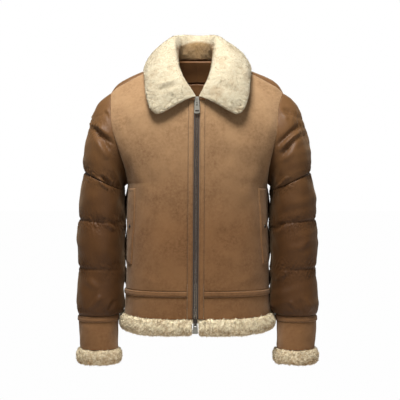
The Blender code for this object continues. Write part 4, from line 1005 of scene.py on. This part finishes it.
def sleeve_puff(points, along, turn):
    """Height of the down at a sleeve point: a sine arch between stitch lines, flat at both seams. The upper
    lines cut in less on the outer side of the arm, and the lower ones on the inner side, where the arch is
    also higher. It puts out the height and the share that the armhole seam lets it have."""
    along, turn = np.broadcast_arrays(along, turn)
    lines = sleeve_lines(turn)
    z = points[..., 2]
    inner = (1 - np.cos(np.radians(turn))) / 2
    hold = 0.3 + 0.55 * np.clip(np.cos(np.radians(turn)), 0, 1)
    holds = [hold, hold, hold] + [0.35 + 0.9 * inner**2] * 3 + [np.zeros(z.shape)]
    puff = np.zeros(z.shape)
    for n, (top, bottom) in enumerate(zip(lines, lines[1:])):
        share = (top - z) / np.maximum(top - bottom, 8.0)
        inside = (share > 0) & (share < 1)
        fullest = np.clip(share, 0, 1) ** (2.0 if n == 5 else 1.0)
        height = np.sin(np.pi * fullest) ** 0.62 * np.minimum(1, (top - bottom) / 60)
        height *= 1 + FULLER_INSIDE[n] * inner
        held = holds[n] * (1 - share) + holds[n + 1] * share
        puff = np.where(inside, height + (1 - height) * held, puff)
    near_seam = np.clip(along / (0.09 + 0.24 * inner**3), 0, 1) ** 0.75
    return SLEEVE_PUFF * puff * near_seam, near_seam


along = np.concatenate([np.linspace(0, 0.4, 86), np.linspace(0.4, 1.0, 138)[1:]])
turn = np.linspace(0, 360, 190)[:-1]
for k, (side_name, side) in enumerate(SIDES.items()):
    plain = sleeve_shape(along[:, None], turn[None], side)
    out = facing(normals(plain, wrap=True), plain - plain.mean(1, keepdims=True))
    out[0] = -into_armhole(turn, side)
    outer = short_of_seams(plain, edges=("first_row", "last_row"))
    puff, near_seam = sleeve_puff(plain, along[:, None], turn[None])
    angle = np.radians(turn)[None]
    pucker = np.zeros(plain.shape[:2])
    # Painted shade on the inner side of the arm below the cap, where the body shades it.
    below_cap = np.clip((-130 - plain[..., 2]) / 60, 0, 1)
    shade_and_mottle = np.clip(0.2 - np.cos(angle), 0, 1) * below_cap * 0.65
    for n, at_z in enumerate(sleeve_lines(np.broadcast_to(turn[None], plain.shape[:2]))[1:]):
        away = plain[..., 2] - at_z
        pucker += tucks(away, angle + 5 * (away > 0), 90 + 10 * k + n, 0.12, reach=20.0, depth=4.2)
        stitched = np.exp(-(away / 3.2) ** 2) * (1 - 0.7 * np.clip(np.cos(angle), 0, 1) * (n < 2))
        stitched *= 1 - 0.6 * np.clip(-np.cos(angle), 0, 1)
        pucker -= 1.7 * stitched
        # Painted shade down in each stitch line's valley.
        shade_and_mottle = np.maximum(shade_and_mottle, 0.4 * stitched)
    behind = np.array(SLEEVE_FOLDS_BEHIND) * [side, 1, side, 1, 1, 1]
    pucker += 1.8 * folds(plain, out, SLEEVE_FOLDS[side_name]) + folds(plain, out, behind, front=False)
    ease = np.clip(from_border(plain.shape[:2], wrap=True) / 5, 0, 1) * np.clip(near_seam, 0, 1)
    swell = 1 + 0.14 * ripple(plain, 90, 101 + k) + 0.10 * ripple(plain, 34, 103 + k)
    pressed = np.clip((-290 - plain[..., 2]) / 60, 0, 1) * np.clip((plain[..., 2] + 612) / 30, 0, 1)
    pressed = PRESSED_OUT * pressed * ((1 - np.cos(angle)) / 2) ** 3
    puffed = outer + out * (puff * swell + pucker * ease + pressed)[..., None]
    inner = outer - out * NYLON
    sleeve = cloth(f"sleeve_{side_name}_quilted", puffed, inner, [nylon, lining], True, shade_and_mottle, step=3)
    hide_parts(f"sleeve_{side_name}")
    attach(sleeve, "jacket")

# Cuffs. A suede strip covers the seam where the down sleeve ends, the cuff below is one layer of shearling
# rolled into a tube, and its wool turns out round the lower edge.
CUFF_STRIP_DEPTH, CUFF_EDGE_Z = 14.5, -698.0
# Level z, half width, half depth, middle x, middle y
CUFF = np.array([
    (-614.5, 49.5, 57, 249, -22), (-640, 50, 56, 250, -25), (-698, 47.5, 53, 247.5, -30),
    (-734, 47, 52, 247, -33),
])


def cuff_ring(z, turn, side, proud=0.0):
    """Oval ring of the cuff at level z, or at several levels."""
    z, turn = np.broadcast_arrays(np.asarray(z, float), turn)
    found = through(CUFF[::-1], z)
    angle = np.radians(turn)
    return np.stack([
        side * (found[..., 2] + (found[..., 0] + proud) * np.cos(angle)),
        found[..., 3] - (found[..., 1] + proud) * np.sin(angle),
        z,
    ], -1)


turn = np.linspace(0, 360, 121)[:-1]
strip_bottom = CUFF_SEAM_Z - CUFF_STRIP_DEPTH
for k, (side_name, side) in enumerate(SIDES.items()):
    levels = np.linspace(CUFF_SEAM_Z - SEAM_GAP, strip_bottom + SEAM_GAP, 13)
    rise = 0.8 + 2.5 * np.sin(np.pi * np.linspace(0, 1, 13)) ** 0.5
    outer = cuff_ring(levels[:, None], turn[None], side, rise[:, None])
    inner = cuff_ring(levels[:, None], turn[None], side, -NYLON)
    strip = cloth(f"cuff_strip_{side_name}_suede", outer, inner, [suede, inside_pile], wrap=True, step=3)
    ways = outer[6] - cuff_ring(levels[6], turn, side, 0.0)
    ways = np.vstack([ways, ways[:1]])
    rows_of_thread = [stitches(f"cuff_{side_name}_{edge}_stitches", np.vstack([outer[n], outer[n, :1]]), ways,
                               thread, 3.6, 2.8, 0.4)
                      for edge, n in (("upper", 3), ("lower", 9))]
    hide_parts(f"cuff_strip_{side_name}")
    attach(strip, "jacket")

    levels = np.linspace(strip_bottom - SEAM_GAP, CUFF_EDGE_Z, 40)
    outer = cuff_ring(levels[:, None], turn[None], side)
    way = outer - cuff_ring(levels[:, None], turn[None], side, -1.0)
    ease = np.clip(from_border(outer.shape[:2], wrap=True) / 6, 0, 1)
    swell = 0.9 * ripple(outer, 55, 111 + k) + 0.4 * ripple(outer, 24, 113)
    lifted = outer + way * (ease * swell)[..., None]
    inner = cuff_ring(levels[:, None], turn[None], side, -SUEDE)
    cuff = cloth(f"cuff_{side_name}_suede", lifted, inner, [suede, inside_pile], wrap=True, step=3)
    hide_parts(f"cuff_{side_name}")
    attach(cuff, "jacket")

    edge = cuff_ring(CUFF_EDGE_Z, turn, side)
    outward = (edge - cuff_ring(CUFF_EDGE_Z, turn, side, -1.0)) * CUFF_PILE
    roll, grid, ways, shade_and_mottle = pile_roll(f"cuff_{side_name}_roll", edge, outward, True, 1.0)
    wool_on = tufts(f"cuff_{side_name}_wool", grid, ways, shade_and_mottle, wool, 11000, 4.6, 1.2, 120 + k)
    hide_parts(f"cuff_fur_{side_name}")

# Collar. One wide piece of shearling with its wool sheared short on the side that shows, folded over at the
# top of the stand. Its skin side is suede, and it is sewn into the neck seam.
# Each list runs from the neck seam up the stand, over the roll and down the fall: x, y, z, thickness. The
# first list is the front end, the last the centre back.
COLLAR = np.array([
    [(9, -114, -81, 1.5), (7, -117, -75, 1.5), (12, -122, -75, 2),
     (40, -130, -88, 7), (74, -132, -107, 8), (102, -128, -121, 6)],
    [(25, -106, -57, 2), (18, -108, -49, 2), (27, -117, -42, 2.5),
     (54, -126, -58, 7), (90, -127, -86, 8), (118, -121, -98, 6)],
    [(44, -87, -26, 4), (30, -87, -26, 3), (38, -99, -12, 4),
     (70, -115, -24, 8), (108, -114, -50, 9), (129, -103, -64, 6)],
    [(60, -48, 5, 7), (40, -48, 6, 5), (48, -60, 30, 5),
     (86, -76, 28, 9), (120, -74, 2, 10), (135, -65, -20, 6)],
    [(62, 0, 32, 10), (41, 5, 54, 8), (53, 8, 91, 7),
     (88, 14, 76, 9), (122, 16, 46, 9), (137, 14, 15, 6)],
    [(46, 40, 38, 10), (33, 38, 74, 8), (37, 54, 104, 7),
     (61, 75, 90, 10), (86, 94, 60, 10), (98, 99, 23, 6)],
    [(0, 57, 40, 10), (0, 54, 82, 8), (0, 71, 107, 7),
     (0, 92, 91, 10), (0, 105, 60, 10), (0, 107, 22, 6)],
])
COLLAR_PILE = 1.8
# Its shade colour is painted shade inside the back of the stand and in the valleys between curls.
sheared = finish_of("Sheared wool", (0.38, 0.315, 0.205), (0.435, 0.38, 0.262), (0.475, 0.425, 0.315),
                    30, 300, 600, 0.0008, shade=(0.56, 0.40, 0.25), Roughness=0.95, Sheen_Weight=0.2,
                    Sheen_Roughness=0.6, Sheen_Tint=(1.0, 0.93, 0.8, 1), Specular_IOR_Level=0.1)


def round_corners(station, across):
    """Draws in the collar's two lower front corners: the last half step both ways becomes a quarter disc."""
    station, across = np.broadcast_arrays(station, across)
    a = np.clip((np.abs(station) - 5.5) / 0.5, 0, 1)
    b = np.clip((across - 4.5) / 0.5, 0, 1)
    inward = 0.5 * a * (1 - np.sqrt(1 - b * b / 2))
    upward = 0.5 * b * (1 - np.sqrt(1 - a * a / 2))
    return station - np.sign(station) * inward, across - upward


def pick(values, k):
    """The values at control point k of each track."""
    return np.take_along_axis(values, k[..., None, None], axis=-2)[..., 0, :]


def collar_shape(station, across):
    """Pile side of the collar: station -6 at the right front end, 0 centre back, 6 left; across 0 at the neck
    seam to 5 at the fall's edge. A cubic through the control points both ways. It puts out the points and the
    thickness."""
    station, across = np.broadcast_arrays(station, across)
    mirrored = np.concatenate([COLLAR, COLLAR[-2:-4:-1] * [-1, 1, 1, 1]])
    rows = [np.column_stack([np.arange(9.0), mirrored[:, k]]) for k in range(6)]
    at = 6 - np.abs(station)
    tracks = np.stack([through(row, at) for row in rows], -2)
    slopes = np.gradient(tracks, axis=-2)
    i = np.clip(np.floor(across).astype(int), 0, 4)
    u = (across - i)[..., None]
    found = (
        (1 + 2 * u) * (1 - u) ** 2 * pick(tracks, i) + u * (1 - u) ** 2 * pick(slopes, i)
        + u * u * (3 - 2 * u) * pick(tracks, i + 1) + u * u * (u - 1) * pick(slopes, i + 1)
    )
    found[..., 0] *= np.where(station < 0, -1, 1)
    lean = -6 * np.clip(1 - np.abs(across - 1.5) / 2.5, 0, 1) * np.clip(6 - np.abs(station), 0, 1)
    found[..., 0] += lean * np.clip(at / 3, 0, 1)
    return found[..., :3], found[..., 3]


COLLAR_FOLDS = [(-95, -62, -36, -36, 8, -2.4), (-100, -50, -60, -30, 7, 1.8), (-86, -40, -96, -70, 8, -1.6),
                (70, -60, 100, -88, 10, 1.6), (52, -40, 84, -56, 9, -1.6), (98, -10, 84, -34, 10, -1.8)]
station = np.linspace(-6, 6, 322)
across = np.concatenate([np.linspace(0, 1, 12)[:-1], np.linspace(1, 3, 40)[:-1], np.linspace(3, 5, 38)])
station, across = round_corners(station[:, None], across[None])
skin, thickness = collar_shape(station, across)
closing = np.clip((np.abs(station) - 4.7) / 1.1, 0, 1) * np.clip(1 - np.abs(across - 1.2) / 1.4, 0, 1)
skin[..., 0] -= np.sign(station) * 4.2 * closing
out = facing(normals(skin), np.where(across[..., None] > 2.4, [0, 0, 1.0], [0, 0, 0.0]))
out[:, 0, 2] = 0
out[:, 0] /= np.linalg.norm(out[:, 0], axis=-1, keepdims=True)
inner = skin - out * thickness[..., None]
border = from_border(skin.shape[:2])
rounding = np.clip(1 - border / 5, 0, 1) ** 2 * np.clip((thickness - 2) * 0.45, 0, 2.6)
knob, valley_shade = curls(skin, 17, 131)
near_edge = np.clip(1 - border / 12, 0, 1)
lump = (0.6 + 1.6 * near_edge) * (knob - 0.5) + 0.9 * ripple(skin, 46, 132) + folds(skin, out, COLLAR_FOLDS)
loose = np.clip((thickness - 3) / 4, 0, 1) * np.clip(border / 3, 0, 1)
# Painted shade: on the stand inside the back of the neck, under an arch, and in the valleys between curls,
# more near the edges; worn is a random mottle of the wool.
neck_arch = np.clip((91 - 0.009 * skin[..., 0] ** 2 - skin[..., 2]) / 8, 0, 1)
stand_shade = np.clip((1.9 - across) * 2.5, 0, 1) * np.clip(3.2 - np.abs(station), 0, 1) * neck_arch
worn = np.clip(ripple(skin, 60, 134) - 0.5, 0, 1) * 0.25 + np.clip(ripple(skin, 22, 135) - 0.6, 0, 1) * 0.15
shade_and_mottle = 0.95 * stand_shade + worn + valley_shade * (0.16 + 0.4 * near_edge)
top = skin - out * (COLLAR_PILE * np.clip(thickness / 4, 0, 1) + rounding - lump * loose)[..., None]
collar = cloth("collar_shearling", top, inner, [sheared, suede], shade_and_mottle=shade_and_mottle, step=3)
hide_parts("collar")
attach(collar, "jacket")
short_wool = tufts("collar_wool", top, out, shade_and_mottle, sheared, 30000, 3.0, 1.1, 133, lay=(0.0, 0.0, -0.15))

# Studio. A pale floor well below the jacket, which its wearer would hold up, soft lights and the camera.
def lamp(name, place, aim, size, power):
    """A square soft light at a place in metres, turned to its aim."""
    light = bpy.data.lights.new(name, "AREA")
    light.shape = "SQUARE"
    light.size = size
    light.energy = power
    made = bpy.data.objects.new(name, light)
    made.location = place
    made.rotation_euler = (Vector(aim) - Vector(place)).to_track_quat("-Z", "Y").to_euler()
    bpy.context.scene.collection.objects.link(made)


def shown_to_camera(tree, lit, seen, end):
    """Mixes two shaders so that the camera sees one of them and all other rays meet the other."""
    rays = node(tree, "LightPath")
    which = node(tree, "MixShader", {0: rays.outputs["Is Camera Ray"], 1: lit.outputs[0], 2: seen.outputs[0]})
    tree.links.new(which.outputs[0], end.inputs["Surface"])


lamp("key", (-0.15, -0.7, 1.0), (0, -0.05, -0.2), 0.5, 40)
lamp("fill", (1.5, -2.2, 0.1), (0, 0, -0.3), 1.6, 6)
lamp("rim", (0.6, 1.8, 1.2), (0, 0, -0.2), 1.2, 14)
bpy.context.scene.view_settings.view_transform = "Standard"
world = bpy.data.worlds.new("Studio")
bpy.context.scene.world = world
world.use_nodes = True
sky = world.node_tree
soft = sky.nodes["Background"]
soft.inputs["Color"].default_value = (1, 1, 1, 1)
soft.inputs["Strength"].default_value = 0.24
white = node(sky, "Background", {"Color": (1, 1, 1, 1)})
shown_to_camera(sky, soft, white, sky.nodes["World Output"])

pale = bpy.data.materials.new("Pale floor")
pale.use_nodes = True
paint = pale.node_tree.nodes["Principled BSDF"]
paint.inputs["Base Color"].default_value = (0.9, 0.9, 0.9, 1)
paint.inputs["Roughness"].default_value = 0.9
glow = node(pale.node_tree, "Emission", {"Color": (0.99, 0.99, 0.99, 1)})
shown_to_camera(pale.node_tree, paint, glow, pale.node_tree.nodes["Material Output"])
floor_points = np.array([(-30, -9, -1.0), (30, -9, -1.0), (30, 60, -1.0), (-30, 60, -1.0)]) / MM
floor = put_mesh("floor", floor_points, np.array([[0, 1, 2, 3]]), [pale])

camera = bpy.data.objects.new("camera", bpy.data.cameras.new("camera"))
camera.data.lens = 36 * 2.6 / 1.02
camera.location = (0.0064, -2.6, -0.326)
camera.rotation_euler = (np.pi / 2, 0, 0)
bpy.context.scene.collection.objects.link(camera)
bpy.context.scene.camera = camera
